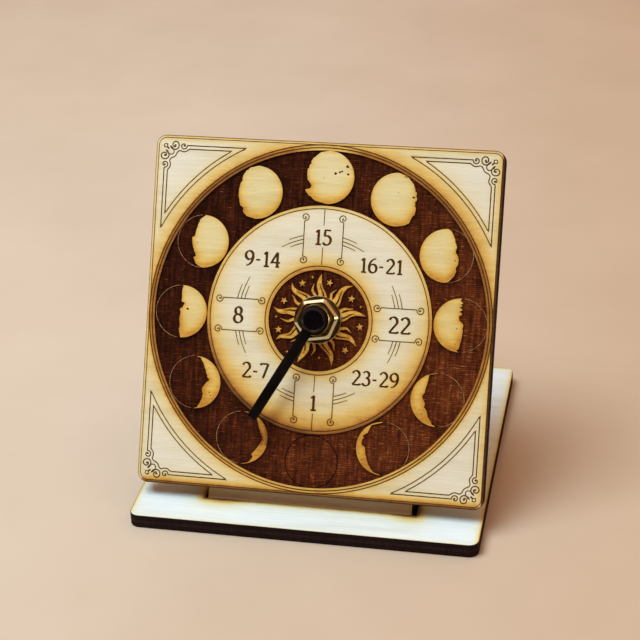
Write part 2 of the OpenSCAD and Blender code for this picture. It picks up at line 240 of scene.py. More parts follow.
def engraved_ground():
    """Deep laser-engraved field: charred brown with raster lines and the wood's own streaks."""
    M = Mat("engraved_ground")
    vec = M.coord()
    x, y, z = M.sep(vec)
    warp = M.node("ShaderNodeTexNoise", ins={"Vector": vec, "Scale": 160.0, "Detail": 2.0}).outputs["Color"]
    wv = M.node("ShaderNodeVectorMath", operation="MULTIPLY_ADD", ins={0: warp, 1: (0.0008, 0.0008, 0.0), 2: vec}).outputs[0]
    vert = M.noise(M.mapping(wv, (1250, 120, 300)), 1.0, 4, 0.7)
    vert2 = M.noise(M.mapping(wv, (560, 55, 100)), 1.0, 3, 0.6)
    hori = M.noise(M.mapping(wv, (190, 2100, 300)), 1.0, 3, 0.65)
    blot = M.noise(vec, 210, 4, 0.65)
    raster = M.node("ShaderNodeTexWave", wave_type="BANDS", bands_direction="Y", wave_profile="SIN",
                    ins={"Vector": wv, "Scale": 560.0, "Distortion": 2.0, "Detail": 3.0, "Detail Scale": 60.0}).outputs["Fac"]
    dash = M.noise(M.mapping(vec, (520, 2700, 300)), 1.0, 2, 0.5)
    v = M.math("ADD", M.math("MULTIPLY", vert, 0.42), M.math("MULTIPLY", hori, 0.22))
    v = M.math("ADD", v, M.math("MULTIPLY", vert2, 0.16))
    v = M.math("ADD", v, M.math("MULTIPLY", blot, 0.18))
    v = M.math("ADD", v, M.math("MULTIPLY", raster, 0.05))
    v = M.math("ADD", v, M.math("MULTIPLY", M.math("MAXIMUM", M.math("SUBTRACT", dash, 0.56), 0.0), 0.9))
    v = M.math("SUBTRACT", v, 0.05)
    # more smoke stayed at the upper left, less at the lower right
    lift = M.math("ADD", M.math("MULTIPLY", x, 1.5), M.math("MULTIPLY", y, -1.25))
    v = M.math("ADD", v, lift)
    v = M.math("SUBTRACT", v, M.math("MULTIPLY", M.attr("scorch"), 0.12))
    col = M.ramp(v, [(0.30, srgb(28, 10, 5)), (0.42, srgb(60, 25, 12)), (0.52, srgb(94, 44, 20)), (0.61, srgb(128, 70, 34)), (0.72, srgb(172, 114, 68)), (0.84, srgb(202, 154, 104))])
    M.set(Base_Color=col, Roughness=0.86)
    M.bsdf.inputs["Specular IOR Level"].default_value = 0.12
    h = M.math("ADD", M.math("MULTIPLY", vert, 0.8), M.math("ADD", M.math("MULTIPLY", hori, 0.6), M.math("MULTIPLY", raster, 0.3)))
    M.set(Normal=M.bump(h, 0.7, 0.00024))
    return M.m


def groove(name, c0, c1, attr=None):
    """Thin laser-scored line; attr darkens it where the wood around it is scorched."""
    M = Mat(name)
    vec = M.coord()
    n = M.noise(vec, 900, 4, 0.7)
    col = M.ramp(n, [(0.3, c0), (0.7, c1)])
    if attr:
        col = M.mix(col, M.ramp(M.attr(attr), [(0.25, (1.0, 1.0, 1.0, 1)), (0.55, (1.0, 0.78, 0.55, 1)), (0.9, (0.50, 0.30, 0.20, 1))]), 1.0, "MULTIPLY")
    M.set(Base_Color=col, Roughness=0.8)
    M.bsdf.inputs["Specular IOR Level"].default_value = 0.15
    M.set(Normal=M.bump(n, 0.4, 0.0001))
    return M.m


def ply_edge(name, axis, z0, t, plies=3, cols=((10, 5, 3), (22, 12, 7), (40, 23, 13), (74, 46, 27))):
    """Laser-burnt cut edge with the plies of the board across axis (0 x, 1 y, 2 z)."""
    M = Mat(name)
    vec = M.coord()
    comp = M.sep(vec)[axis]
    u = M.math("MULTIPLY", M.math("SUBTRACT", comp, z0 * MM), 1.0 / (t * MM))     # 0..1 through the board
    wob = M.math("MULTIPLY", M.math("SUBTRACT", M.noise(M.mapping(vec, (90, 90, 90)), 1.0, 3, 0.5), 0.5), 0.06)
    p = M.math("MULTIPLY", M.math("ADD", u, wob), float(plies))
    fr = M.math("FRACT", p)
    glue = M.math("MINIMUM", fr, M.math("SUBTRACT", 1.0, fr))                     # 0 at the glue lines
    line = M.ramp(glue, [(0.0, (0.25, 0.25, 0.25, 1)), (0.07, (0.85, 0.85, 0.85, 1)), (0.16, (1, 1, 1, 1))])
    stripes = M.noise(M.mapping(vec, (1400, 1400, 1400) if axis != 2 else (1300, 1300, 60)), 1.0, 3, 0.6)
    blot = M.noise(vec, 140, 4, 0.6)
    k = M.math("ADD", M.math("MULTIPLY", stripes, 0.55), M.math("MULTIPLY", blot, 0.45))
    col = M.ramp(k, [(p_, srgb(*c_)) for p_, c_ in zip((0.28, 0.46, 0.62, 0.82), cols)])
    cross = M.ramp(M.math("FRACT", M.math("MULTIPLY", p, 0.5)), [(0.49, (1.25, 1.2, 1.15, 1)), (0.51, (0.8, 0.78, 0.76, 1))])
    col = M.mix(col, cross, 1.0, "MULTIPLY")
    col = M.mix(col, line, 1.0, "MULTIPLY")
    M.set(Base_Color=col, Roughness=M.grey(k, 0.75, 0.9, 0.3, 0.7))
    M.bsdf.inputs["Specular IOR Level"].default_value = 0.10
    h = M.math("ADD", M.math("MULTIPLY", stripes, 0.5), M.math("MULTIPLY", glue, 0.8))
    M.set(Normal=M.bump(h, 0.5, 0.0002))
    return M.m


def brass_mat(name, c=(196, 158, 84), rough=0.17):
    M = Mat(name)
    vec = M.coord()
    n = M.noise(vec, 420, 4, 0.6)
    sc = M.noise(M.mapping(vec, (300, 2600, 2600)), 1.0, 3, 0.6)
    base = M.ramp(n, [(0.3, srgb(c[0] - 14, c[1] - 14, c[2] - 10)), (0.7, srgb(c[0] + 10, c[1] + 10, c[2] + 16))])
    M.set(Base_Color=base, Metallic=1.0)
    M.set(Roughness=M.grey(M.math("ADD", M.math("MULTIPLY", n, 0.5), M.math("MULTIPLY", sc, 0.5)), rough - 0.06, rough + 0.12, 0.3, 0.7))
    M.set(Normal=M.bump(sc, 0.05, 0.00004))
    return M.m


def metal_mat(name, c=(190, 190, 194), rough=0.28, stretch=(400, 2600, 400)):
    M = Mat(name)
    vec = M.coord()
    n = M.noise(M.mapping(vec, stretch), 1.0, 3, 0.6)
    M.set(Base_Color=M.ramp(n, [(0.3, srgb(*[max(v - 16, 0) for v in c])), (0.7, srgb(*c))]), Metallic=1.0)
    M.set(Roughness=M.grey(n, rough - 0.07, rough + 0.12, 0.3, 0.7), Normal=M.bump(n, 0.12, 0.00005))
    return M.m


def plastic_mat(name, c, rough=0.42, grain=1600.0, bump=0.22, spec=0.45):
    """Moulded plastic with a fine spark-eroded grain."""
    M = Mat(name)
    vec = M.coord()
    n = M.noise(vec, grain, 3, 0.6)
    big = M.noise(vec, 60, 3, 0.5)
    lo = tuple(v * 0.86 for v in c)
    hi = tuple(min(v * 1.1 + 3, 255) for v in c)
    M.set(Base_Color=M.ramp(big, [(0.3, srgb(*lo)), (0.7, srgb(*hi))]))
    M.set(Roughness=M.grey(M.math("ADD", M.math("MULTIPLY", n, 0.6), M.math("MULTIPLY", big, 0.4)), rough - 0.08, rough + 0.12, 0.3, 0.7))
    M.bsdf.inputs["Specular IOR Level"].default_value = spec
    M.set(Normal=M.bump(n, bump, 0.00006))
    return M.m


m_top = birch("birch_dial", "x", attr="scorch")
m_moon = birch("birch_moon", "x", base=srgb(239, 230, 186), attr="scorch", gain=1.2)
m_ground = engraved_ground()
m_line = groove("scored_line", srgb(62, 40, 16), srgb(114, 84, 44), "scorch")
m_glyph = groove("scored_figure", srgb(56, 30, 14), srgb(104, 64, 34))
m_outline = groove("moon_outline", srgb(70, 38, 20), srgb(196, 150, 108))
m_newline = groove("new_moon_outline", srgb(14, 6, 4), srgb(34, 16, 9))
m_wall = groove("burnt_wall", srgb(30, 13, 7), srgb(84, 46, 22))
m_edge_dial = ply_edge("ply_edge_dial", 2, -PLY, PLY)
m_back = birch("birch_back", "x", base=srgb(226, 208, 172), attr="scorch")

MATS_DIAL = [m_top, m_ground, m_line, m_glyph, m_outline, m_newline, m_wall, m_edge_dial, m_back, m_moon, m_wall]
TOP, GROUND, LINE, GLYPH, OUTL, NEWL, WALL, EDGE, BACK, MOON, PIT = range(11)

# ------------------------------------------------------------------ dial artwork (mm, dial frame)
rnd = random.Random(11)
POLY = []        # (tag, [points]) every closed outline


def ccw(p):
    a = 0.0
    for i in range(len(p)):
        x0, y0 = p[i]
        x1, y1 = p[(i + 1) % len(p)]
        a += x0 * y1 - x1 * y0
    return p if a > 0 else p[::-1]


def poly(tag, pts):
    q = []
    for p in pts:
        if not q or math.hypot(p[0] - q[-1][0], p[1] - q[-1][1]) > 0.004:
            q.append((float(p[0]), float(p[1])))
    if math.hypot(q[0][0] - q[-1][0], q[0][1] - q[-1][1]) < 0.004:
        q.pop()
    POLY.append((tag, ccw(q)))


def circle_pts(cx, cy, r, n=None, a0=0.0):
    n = n or max(16, int(2 * math.pi * r / 0.42))
    return [(cx + r * math.cos(a0 + 2 * math.pi * i / n), cy + r * math.sin(a0 + 2 * math.pi * i / n)) for i in range(n)]


def ring(tag, r, w, cx=0.0, cy=0.0):
    poly(tag + "+", circle_pts(cx, cy, r + w / 2))
    poly(tag + "~", circle_pts(cx, cy, r - w / 2))


def stroke(tag, pts, w, closed=False, w2=None, pen=None):
    """A line of width w along pts; w2 is the width at its end; pen = (angle, extra) widens it across that angle."""
    n = len(pts)
    L, R = [], []
    for i in range(n):
        if closed:
            a, b = pts[i - 1], pts[(i + 1) % n]
        else:
            a, b = pts[max(i - 1, 0)], pts[min(i + 1, n - 1)]
        dx, dy = b[0] - a[0], b[1] - a[1]
        l = math.hypot(dx, dy) or 1e-9
        nx, ny = -dy / l, dx / l
        t = i / max(n - 1, 1)
        h = (w + ((w2 - w) * t if w2 is not None else 0)) / 2
        if tag.startswith("line|"):
            h *= 1.12
        if pen:
            h += pen[1] / 2 * abs(nx * math.cos(pen[0]) + ny * math.sin(pen[0]))
        # keep the width round a corner
        if 0 < i < n - 1 or closed:
            p0, p1, p2 = pts[i - 1], pts[i], pts[(i + 1) % n]
            a1 = math.atan2(p1[1] - p0[1], p1[0] - p0[0])
            a2 = math.atan2(p2[1] - p1[1], p2[0] - p1[0])
            c = math.cos(((a2 - a1 + math.pi) % (2 * math.pi) - math.pi) / 2)
            h = h / max(c, 0.6)
        L.append((pts[i][0] + nx * h, pts[i][1] + ny * h))
        R.append((pts[i][0] - nx * h, pts[i][1] - ny * h))
    if closed:
        big, small = (L, R) if abs(area(L)) > abs(area(R)) else (R, L)
        poly(tag + "+", big)
        poly(tag + "~", small)
    else:
        poly(tag, L + R[::-1])


def area(p):
    return 0.5 * sum(p[i][0] * p[(i + 1) % len(p)][1] - p[(i + 1) % len(p)][0] * p[i][1] for i in range(len(p)))


def arc(cx, cy, r, a0, a1, n=None):
    n = n or max(3, int(abs(a1 - a0) * math.pi / 180 * r / 0.35) + 2)
    return [(cx + r * math.cos(math.radians(a0 + (a1 - a0) * i / (n - 1))), cy + r * math.sin(math.radians(a0 + (a1 - a0) * i / (n - 1)))) for i in range(n)]


def spiral(cx, cy, r0, r1, a0, turns, n=26):
    """From radius r0 at angle a0 (degrees) inwards to r1; a positive number of turns goes anticlockwise."""
    out = []
    for i in range(n):
        t = i / (n - 1)
        r = r0 + (r1 - r0) * t
        a = math.radians(a0 + 360 * turns * t)
        out.append((cx + r * math.cos(a), cy + r * math.sin(a)))
    return out


def outline_rr(h, r, n=10):
    out = []
    for sx, sy, a in ((1, 1, 0), (-1, 1, 90), (-1, -1, 180), (1, -1, 270)):
        out += arc(sx * (h - r), sy * (h - r), r, a, a + 90, n)
    return out


HALF = PLATE / 2
BEV = 0.14
poly("plate", outline_rr(HALF - BEV, CORNER - BEV, 12))
poly("hole", circle_pts(0, 0, 4.2, 48))

# main rings
R_OUT, R_IN, R_SUN = 47.78, 32.3, 14.38
poly("A_out", circle_pts(0, 0, R_OUT, 720))
INC, RC = (0.12, -0.12), (0.14, -0.25)
poly("A_in", circle_pts(INC[0], INC[1], R_IN, 480))
poly("S_out", circle_pts(RC[0], RC[1], R_SUN, 300))
ring("line|r1", 48.50, 0.34)
ring("line|r2", 49.28, 0.32)
ring("line|r3", 31.45, 0.27, *INC)
ring("line|r4", 15.40, 0.30, *RC)
# scored line just inside the cut edge
pts = outline_rr(HALF - 0.74, CORNER - 0.74, 10)
stroke("line|edge", pts, 0.19, closed=True)

# moons: lit shape with a ragged terminator. k is the terminator's place, -1 to 1, side the lit side
MR = 7.5
MOONS = [  # clock position, lit side, k, dx, dy
    (12, 1, -0.84, 0.1, -0.1), (1, -1, -0.73, 0.0, 0.1), (2, -1, -0.40, 0.0, 0.0), (3, -1, -0.05, -0.3, 1.1),
    (4, -1, 0.53, 0.0, 0.0), (5, -1, 0.71, 0.2, 0.0), (6, 0, 0.0, 0.2, 0.0), (7, 1, 0.69, 0.0, 0.0),
    (8, 1, 0.50, 0.0, 0.0), (9, 1, -0.02, 0.2, -0.2), (10, 1, -0.32, 0.0, 0.0), (11, 1, -0.68, 0.0, 0.0)]
MOON_C = []
# places on the shadow line, (up, across) in moon radii, where it is far from an ellipse
SHADE = {
    4: ((0.933, 0.354), (0.6, 0.396), (0.39, 0.458), (0.246, 0.479), (0.12, 0.583), (0.06, 0.56), (-0.025, 0.529), (-0.19, 0.458), (-0.29, 0.50), (-0.36, 0.44), (-0.44, 0.375), (-0.65, 0.3125), (-0.817, 0.1875), (-0.92, 0.146)),
    5: ((0.858, 0.457), (0.69, 0.54), (0.567, 0.58), (0.50, 0.66), (0.44, 0.77), (0.358, 0.707), (0.275, 0.79), (0.18, 0.78), (0.0875, 0.80), (-0.017, 0.665), (-0.183, 0.644), (-0.39, 0.58), (-0.58, 0.52), (-0.746, 0.436), (-0.91, 0.29)),
    7: ((0.88, 0.42), (0.74, 0.54), (0.608, 0.59), (0.44, 0.633), (0.275, 0.696), (0.14, 0.74), (0.0875, 0.80), (-0.017, 0.80), (-0.14, 0.696), (-0.267, 0.654), (-0.433, 0.55), (-0.52, 0.47), (-0.6, 0.40), (-0.68, 0.43), (-0.767, 0.425), (-0.93, 0.30)),
    12: ((0.93, -0.31), (0.708, -0.58), (0.56, -0.68), (0.50, -0.655), (0.46, -0.735), (0.40, -0.745), (0.35, -0.73), (0.27, -0.80), (0.04, -0.815), (-0.09, -0.80), (-0.15, -0.765), (-0.20, -0.74), (-0.27, -0.65),
         (-0.33, -0.625), (-0.40, -0.64), (-0.445, -0.66), (-0.47, -0.76), (-0.49, -0.86), (-0.625, -0.80), (-0.9, -0.45)),
    1: ((0.92, -0.30), (0.736, -0.46), (0.62, -0.56), (0.53, -0.61), (0.40, -0.66), (0.277, -0.715), (0.16, -0.70), (0.07, -0.745), (0.0, -0.735), (-0.06, -0.67), (-0.12, -0.685), (-0.305, -0.715), (-0.45, -0.70),
        (-0.53, -0.68), (-0.60, -0.60), (-0.72, -0.555), (-0.85, -0.50), (-0.95, -0.30)),
    2: ((0.98, -0.05), (0.906, -0.143), (0.76, -0.226), (0.635, -0.268), (0.447, -0.33), (0.36, -0.375), (0.281, -0.36), (0.20, -0.34), (0.135, -0.345), (0.06, -0.40), (-0.01, -0.44), (-0.157, -0.475), (-0.303, -0.456), (-0.40, -0.40),
        (-0.469, -0.368), (-0.54, -0.40), (-0.615, -0.385), (-0.761, -0.31), (-0.949, -0.141)),
    3: ((0.97, 0.02), (0.93, 0.05), (0.87, 0.0), (0.81, -0.07), (0.765, 0.05), (0.72, -0.06), (0.665, 0.06), (0.62, -0.01), (0.56, -0.05), (0.51, 0.08), (0.46, -0.01), (0.40, -0.045), (0.34, 0.08), (0.18, 0.055), (0.12, -0.02),
        (0.053, -0.10), (-0.24, -0.10), (-0.447, -0.087), (-0.655, -0.045), (-0.863, 0.0), (-0.947, 0.10)),
    9: ((0.97, 0.03), (0.852, -0.012), (0.685, -0.02), (0.477, -0.01), (0.373, -0.033), (0.352, 0.07), (0.30, 0.105), (0.22, 0.05), (0.164, 0.033), (0.10, -0.06), (0.06, -0.075), (-0.023, -0.033), (-0.273, -0.06), (-0.523, -0.033),
        (-0.732, -0.047), (-0.94, 0.0)),
    10: ((0.985, 0.05), (0.865, -0.123), (0.718, -0.207), (0.55, -0.248), (0.42, -0.29), (0.343, -0.31), (0.198, -0.335), (0.135, -0.44), (0.01, -0.435), (-0.157, -0.407), (-0.365, -0.34), (-0.469, -0.288), (-0.58, -0.248),
         (-0.615, -0.36), (-0.719, -0.31), (-0.865, -0.248), (-0.97, -0.08)),
    11: ((0.92, -0.29), (0.80, -0.44), (0.60, -0.56), (0.42, -0.60), (0.30, -0.655), (0.10, -0.69), (-0.15, -0.70), (-0.32, -0.655), (-0.45, -0.64), (-0.53, -0.60), (-0.60, -0.50), (-0.66, -0.475), (-0.71, -0.52), (-0.80, -0.46), (-0.92, -0.33)),
    8: ((0.954, 0.165), (0.725, 0.31), (0.475, 0.394), (0.225, 0.477), (0.17, 0.53), (0.133, 0.573), (0.08, 0.52), (0.017, 0.456), (-0.15, 0.33), (-0.275, 0.29), (-0.36, 0.32), (-0.44, 0.344), (-0.65, 0.29), (-0.858, 0.185), (-0.96, 0.12)),
}

# craters: across and up in moon radii, radius in mm, height over width, tilt
PITS = {
    12: ((0.72, 0.437, 0.30, 1.2, 60), (0.284, 0.153, 0.34, 0.75, 10), (0.44, 0.215, 0.26, 0.8, 20), (0.52, 0.25, 0.28, 0.55, 20), (0.763, 0.145, 0.28, 0.85, 0), (-0.15, -0.02, 0.10, 0.8, 0)),
    1: ((0.607, 0.11, 0.34, 0.6, -15), (0.03, 0.26, 0.09, 1.0, 0)),
    9: ((0.24, 0.11, 0.27, 0.95, 0),),
    10: ((-0.23, -0.06, 0.14, 0.7, 0),),
    2: ((0.33, -0.16, 0.16, 0.8, 0), (0.25, 0.10, 0.11, 0.6, 0)),
    11: ((-0.20, 0.30, 0.08, 1.0, 0),),
}


def ragged(n, seed, amp):
    """Smooth random offsets with a few sharp notches, like mountains along the shadow line."""
    r = random.Random(seed)
    base = [r.uniform(-1, 1) for _ in range(9)]
    out = []
    for i in range(n):
        t = i / (n - 1) * 8
        j = min(int(t), 7)
        f = t - j
        f = f * f * (3 - 2 * f)
        out.append(amp * 0.45 * (base[j] * (1 - f) + base[j + 1] * f) + amp * 0.30 * r.uniform(-1, 1))
    for _ in range(5):
        c = r.randrange(3, n - 3)
        d = r.choice((-1, 1)) * amp * r.uniform(0.5, 1.1)
        out[c] += d
        out[c + 1] += d * 0.7
    return out


for pos, side, k, dx, dy in MOONS:
    th = math.radians(90 - 30 * pos)
    cx, cy = 0.3 + 40.35 * math.cos(th) + dx, 40.35 * math.sin(th) + dy
    MOON_C.append((cx, cy))
    tag = "moon%d" % pos
    if side == 0:
        ring("newl|m6", MR + 0.02, 0.34, cx, cy)
        continue
    s = side
    limb = [(cx + s * MR * math.cos(a), cy + MR * math.sin(a)) for a in np.linspace(math.pi / 2, -math.pi / 2, 62)]
    n = 88
    off = ragged(n, 100 + pos, 0.46)
    term = []
    for i, a in enumerate(np.linspace(-math.pi / 2, math.pi / 2, n)):
        fade = math.cos(a) ** 0.35
        x = k * MR * math.cos(a) + off[i] * fade * (0.75 if abs(k) > 0.6 else 1.0)
        if pos in SHADE:
            tb = [(-1.0, 0.0)] + list(SHADE[pos][::-1]) + [(1.0, 0.0)]
            u = math.sin(a)
            x = MR * float(np.interp(u, [q[0] for q in tb], [q[1] for q in tb])) + off[i] * fade * (0.40 if pos in (11, 12, 1) else 0.30)
        # stay inside the disc
        lim = MR * math.cos(a) * 0.985
        x = max(-lim, min(lim, x))
        term.append((cx + s * x, cy + MR * math.sin(a)))
    poly(tag, limb + term[1:-1])
    # dark limb, traced with a thin line
    if pos not in (12, 1, 11):
        b = [(cx - s * (MR + 0.02) * math.cos(a), cy + (MR + 0.02) * math.sin(a)) for a in np.linspace(-math.pi / 2 + 0.10, math.pi / 2 - 0.10, 54)]
        stroke("outl|%d" % pos, b, 0.15)
    # craters near the terminator
    r = random.Random(300 + pos)
    spots = PITS.get(pos)
    if spots is None:
        spots = []
        for _ in range(3):
            yy, dx_ = r.uniform(-0.75, 0.75), r.uniform(0.05, 0.20)
            lim = math.sqrt(1 - yy * yy)
            xx = k * lim + dx_
            if -lim + 0.05 <= xx <= lim - 0.09:
                spots.append((s * xx, yy, r.uniform(0.09, 0.18), r.uniform(0.7, 1.0), 0))
    for xx, yy, rr, e, tilt in spots:
        ct, st = math.cos(math.radians(tilt)), math.sin(math.radians(tilt))
        q = []
        for t in np.linspace(0, 2 * math.pi, 12)[:-1]:
            w = 1 + 0.22 * math.sin(3 * t + pos + 9 * xx) + r.uniform(-0.12, 0.12)
            u, v = 1.3 * rr * w * math.cos(t), 1.3 * rr * e * w * math.sin(t)
            q.append((cx + xx * MR + u * ct - v * st, cy + yy * MR + u * st + v * ct))
        poly("pit|%d" % pos, q)

# the sun: nine flames, nine small ones between them, stars
SUNC = (0.1, -0.05)


def polar(r, a):
    return (SUNC[0] + r * math.cos(math.radians(a)), SUNC[1] + r * math.sin(math.radians(a)))


def spline(vals, t):
    """Smooth curve through evenly spaced values."""
    n = len(vals) - 1
    u = min(max(t, 0.0), 1.0) * n
    k = min(int(u), n - 1)
    f = u - k
    p0, p1, p2, p3 = vals[max(k - 1, 0)], vals[k], vals[k + 1], vals[min(k + 2, n)]
    return 0.5 * (2 * p1 + (p2 - p0) * f + (2 * p0 - 5 * p1 + 4 * p2 - p3) * f * f + (3 * p1 - p0 - 3 * p2 + p3) * f ** 3)


def flame(tag, a0, r0, r1, widths, sway, gap=None):
    """Wavy tapered ray; sway = degrees the centreline lies off a0, widths in mm, both from foot to tip.
    gap = (place across the width, width, how far up) of the dark line that splits its foot."""
    L, R, GL, GR = [], [], [], []
    n = 30
    for i in range(n):
        t = i / (n - 1)
        r = r0 + (r1 - r0) * t
        q = a0 + spline(sway, t)
        w = max(spline(widths, t), 0.06)
        h = math.degrees(w / 2 / r)
        L.append(polar(r, q + h))
        R.append(polar(r, q - h))
        if gap and t <= gap[2]:
            u = t / gap[2]
            g = gap[1] * (1 - u ** 2.5) + 0.03
            c = math.degrees(w * gap[0] / r)
            hg = math.degrees(g / 2 / r)
            GL.append(polar(r, q - c + hg))
            GR.append(polar(r, q - c - hg))
    poly(tag, L + R[::-1])
    if gap:
        poly(tag + "~gap", GL + GR[::-1])


WAVES = [(-7.5, -4.5, 0.5, 2.4, 1.5, 0.0), (-1.0, 0.6, 4.6, 6.0, 4.4, 0.0), (0.6, 2.4, 5.6, 5.8, 3.0, 0.0), (-4.5, -2.0, 2.4, 4.6, 3.0, 0.0),
         (-6.0, -3.4, 1.2, 3.4, 2.2, 0.0), (-5.0, -1.0, 3.0, 2.4, 0.6, 0.0), (-4.0, 1.6, 4.6, 2.0, -1.0, 0.0), (-4.0, -3.0, -1.0, 2.4, 2.6, 0.0), (-8.0, -6.0, -1.0, 2.8, 3.2, 0.0)]
TIPS = [(0.3, 13.0), (9.4, 10.2), (13.6, 1.9), (11.4, -6.8), (4.7, -12.6), (-5.1, -12.4), (-11.7, -6.3), (-12.9, 2.7), (-8.1, 10.0)]
SMALL = [(4.9, 8.8), (10.0, 3.8), (9.8, -3.1), (5.4, -8.5), (-1.3, -10.2), (-7.5, -6.9), (-10.8, -0.3), (-7.9, 6.5), (-1.7, 10.2)]
for i in range(9):
    tx, ty = TIPS[i][0] - SUNC[0], TIPS[i][1] - SUNC[1]
    flame("ray%d" % i, math.degrees(math.atan2(ty, tx)), 6.2, math.hypot(tx, ty), (2.75, 2.3, 1.85, 1.45, 0.95, 0.1), WAVES[i], (0.12, 0.42, 0.60))
    tx, ty = SMALL[i][0] - SUNC[0], SMALL[i][1] - SUNC[1]
    flame("sray%d" % i, math.degrees(math.atan2(ty, tx)), 6.6, math.hypot(tx, ty), (1.0, 0.85, 0.68, 0.44, 0.1), (3.0, 4.6, 3.8, 0.6, 0.0) if i % 2 else (-1.0, 2.4, 4.6, 2.6, 0.0))


def star(cx, cy, r, n=5, rot=90.0, inner=0.42):
    q = []
    for i in range(2 * n):
        rr = r if i % 2 == 0 else r * inner
        a = math.radians(rot + 180.0 * i / n)
        q.append((cx + rr * math.cos(a), cy + rr * math.sin(a)))
    poly("star", q)


for (x, y, r, rot) in ((-5.1, 10.0, 1.15, 96), (2.7, 10.6, 1.1, 70), (9.2, 6.5, 1.15, 84), (12.1, -1.3, 1.15, 100), (8.3, -8.1, 1.1, 64),
                       (-10.1, 4.8, 1.1, 60), (-11.2, -3.5, 1.15, 92)):
    star(x, y, r, 5, rot)
for (x, y) in ((-2.3, 11.9), (12.0, 4.4), (-12.1, 0.1), (1.0, -10.7), (-8.3, -9.6)):
    star(x, y, 0.5, 4, 90, 0.35)

# label brackets, ticks and little arcs, at the four main places
LW = 0.25


def curl(cx, cy, angles, radii, n=34):
    """Smooth scroll through radii at the given angles (degrees)."""
    out = []
    for i in range(n):
        t = i / (n - 1)
        ang, r = math.radians(spline(angles, t)), spline(radii, t)
        out.append((cx + r * math.cos(ang), cy + r * math.sin(ang)))
    return out


for turn in (0, 1, 2, 3):
    def T(p, turn=turn):
        x, y = p
        for _ in range(turn):
            x, y = -y, x
        return (x + 0.1, y)
    side = turn % 2 == 1       # left and right have flat brackets
    half, y0, y1 = (5.6, 17.65, 27.75) if not side else (4.6, 17.6, 27.9)
    for s in (-1, 1):
        stroke("line|b", [T((s * half, y0 + t * (y1 - y0))) for t in np.linspace(0, 1, 8)], LW)
        for (yc, dr) in ((y1, 1), (y0, -1)):
            # scroll that first swings towards the label, then round to its own centre
            sp = curl(s * (half - 0.22), yc + dr * 1.0, (-90 * dr + s * dr * 12, -90 * dr - s * dr * 90, -90 * dr - s * dr * 180, -90 * dr - s * dr * 270, -90 * dr - s * dr * 360, -90 * dr - s * dr * 410),
                      (1.02, 0.98, 0.90, 0.80, 0.52, 0.22))
            stroke("line|s", [T(p) for p in sp], 0.25)
            poly("line|e", [T(p) for p in circle_pts(s * (half - 0.22), yc + dr * 1.0, 0.24, 14)])
        # three arcs beside the bracket, concentric with the dial
        for (rr, ln) in ((24.15, 4.3), (23.12, 6.7), (22.1, 3.9)):
            a0 = math.degrees(math.asin(half / rr))
            a1 = a0 + math.degrees(ln / rr)
            q = [(s * rr * math.sin(math.radians(a)), rr * math.cos(math.radians(a))) for a in np.linspace(a0, a1, 12)]
            stroke("line|a", [T(p) for p in q], 0.24, w2=0.17)
    if not side:
        stroke("line|t", [T((0, y)) for y in np.linspace(26.6, 31.4, 6)], 0.22)
        stroke("line|t", [T((0, y)) for y in np.linspace(15.5, 20.5, 6)], 0.22)

# plain numbers, drawn with a broad pen
PEN = (math.radians(20), 0.34)


def ell(cx, cy, rx, ry, a0, a1, n=22):
    return [(cx + rx * math.cos(math.radians(a0 + (a1 - a0) * i / (n - 1))), cy + ry * math.sin(math.radians(a0 + (a1 - a0) * i / (n - 1)))) for i in range(n)]


def seg(*pts):
    out = []
    for (a, b) in zip(pts[:-1], pts[1:]):
        k = max(2, int(math.hypot(b[0] - a[0], b[1] - a[1]) / 0.12))
        out += [(a[0] + (b[0] - a[0]) * j / k, a[1] + (b[1] - a[1]) * j / k) for j in range(k)]
    return out + [pts[-1]]


FIG = {   # strokes in a box 0.62 wide and 1 high
    "0": (0.62, [("c", ell(0.31, 0.5, 0.26, 0.49, 0, 360, 30)[:-1])]),
    "1": (0.42, [("o", seg((0.06, 0.80), (0.24, 0.97))), ("o", seg((0.24, 0.99), (0.24, 0.02))), ("o", seg((0.06, 0.02), (0.42, 0.02)))]),
    "2": (0.60, [("o", ell(0.28, 0.72, 0.24, 0.27, 160, -22, 16) + seg((0.46, 0.56), (0.05, 0.03))), ("o", seg((0.05, 0.03), (0.56, 0.03))), ("o", seg((0.56, 0.02), (0.58, 0.13)))]),
    "3": (0.56, [("o", ell(0.25, 0.76, 0.21, 0.22, 150, -90, 18)), ("o", ell(0.24, 0.28, 0.26, 0.27, 90, -155, 20))]),
    "4": (0.60, [("o", seg((0.42, 0.98), (0.03, 0.30), (0.60, 0.30))), ("o", seg((0.42, 0.98), (0.42, 0.02))), ("o", seg((0.30, 0.02), (0.55, 0.02)))]),
    "5": (0.56, [("o", seg((0.50, 0.97), (0.13, 0.97), (0.10, 0.56))), ("o", ell(0.24, 0.31, 0.27, 0.30, 122, -150, 20))]),
    "6": (0.60, [("o", ell(0.52, 0.36, 0.47, 0.62, 92, 182, 14)), ("c", ell(0.31, 0.30, 0.25, 0.29, 0, 360, 26)[:-1])]),
    "7": (0.56, [("o", seg((0.04, 0.86), (0.05, 0.97), (0.54, 0.97))), ("o", seg((0.54, 0.97), (0.22, 0.02)))]),
    "8": (0.60, [("c", ell(0.30, 0.75, 0.19, 0.23, 0, 360, 24)[:-1]), ("c", ell(0.30, 0.27, 0.25, 0.26, 0, 360, 26)[:-1])]),
    "9": (0.60, [("o", ell(0.08, 0.64, 0.47, 0.62, -88, 2, 14)), ("c", ell(0.29, 0.70, 0.25, 0.28, 0, 360, 26)[:-1])]),
    "-": (0.36, [("o", seg((0.02, 0.42), (0.30, 0.42)))]),
}


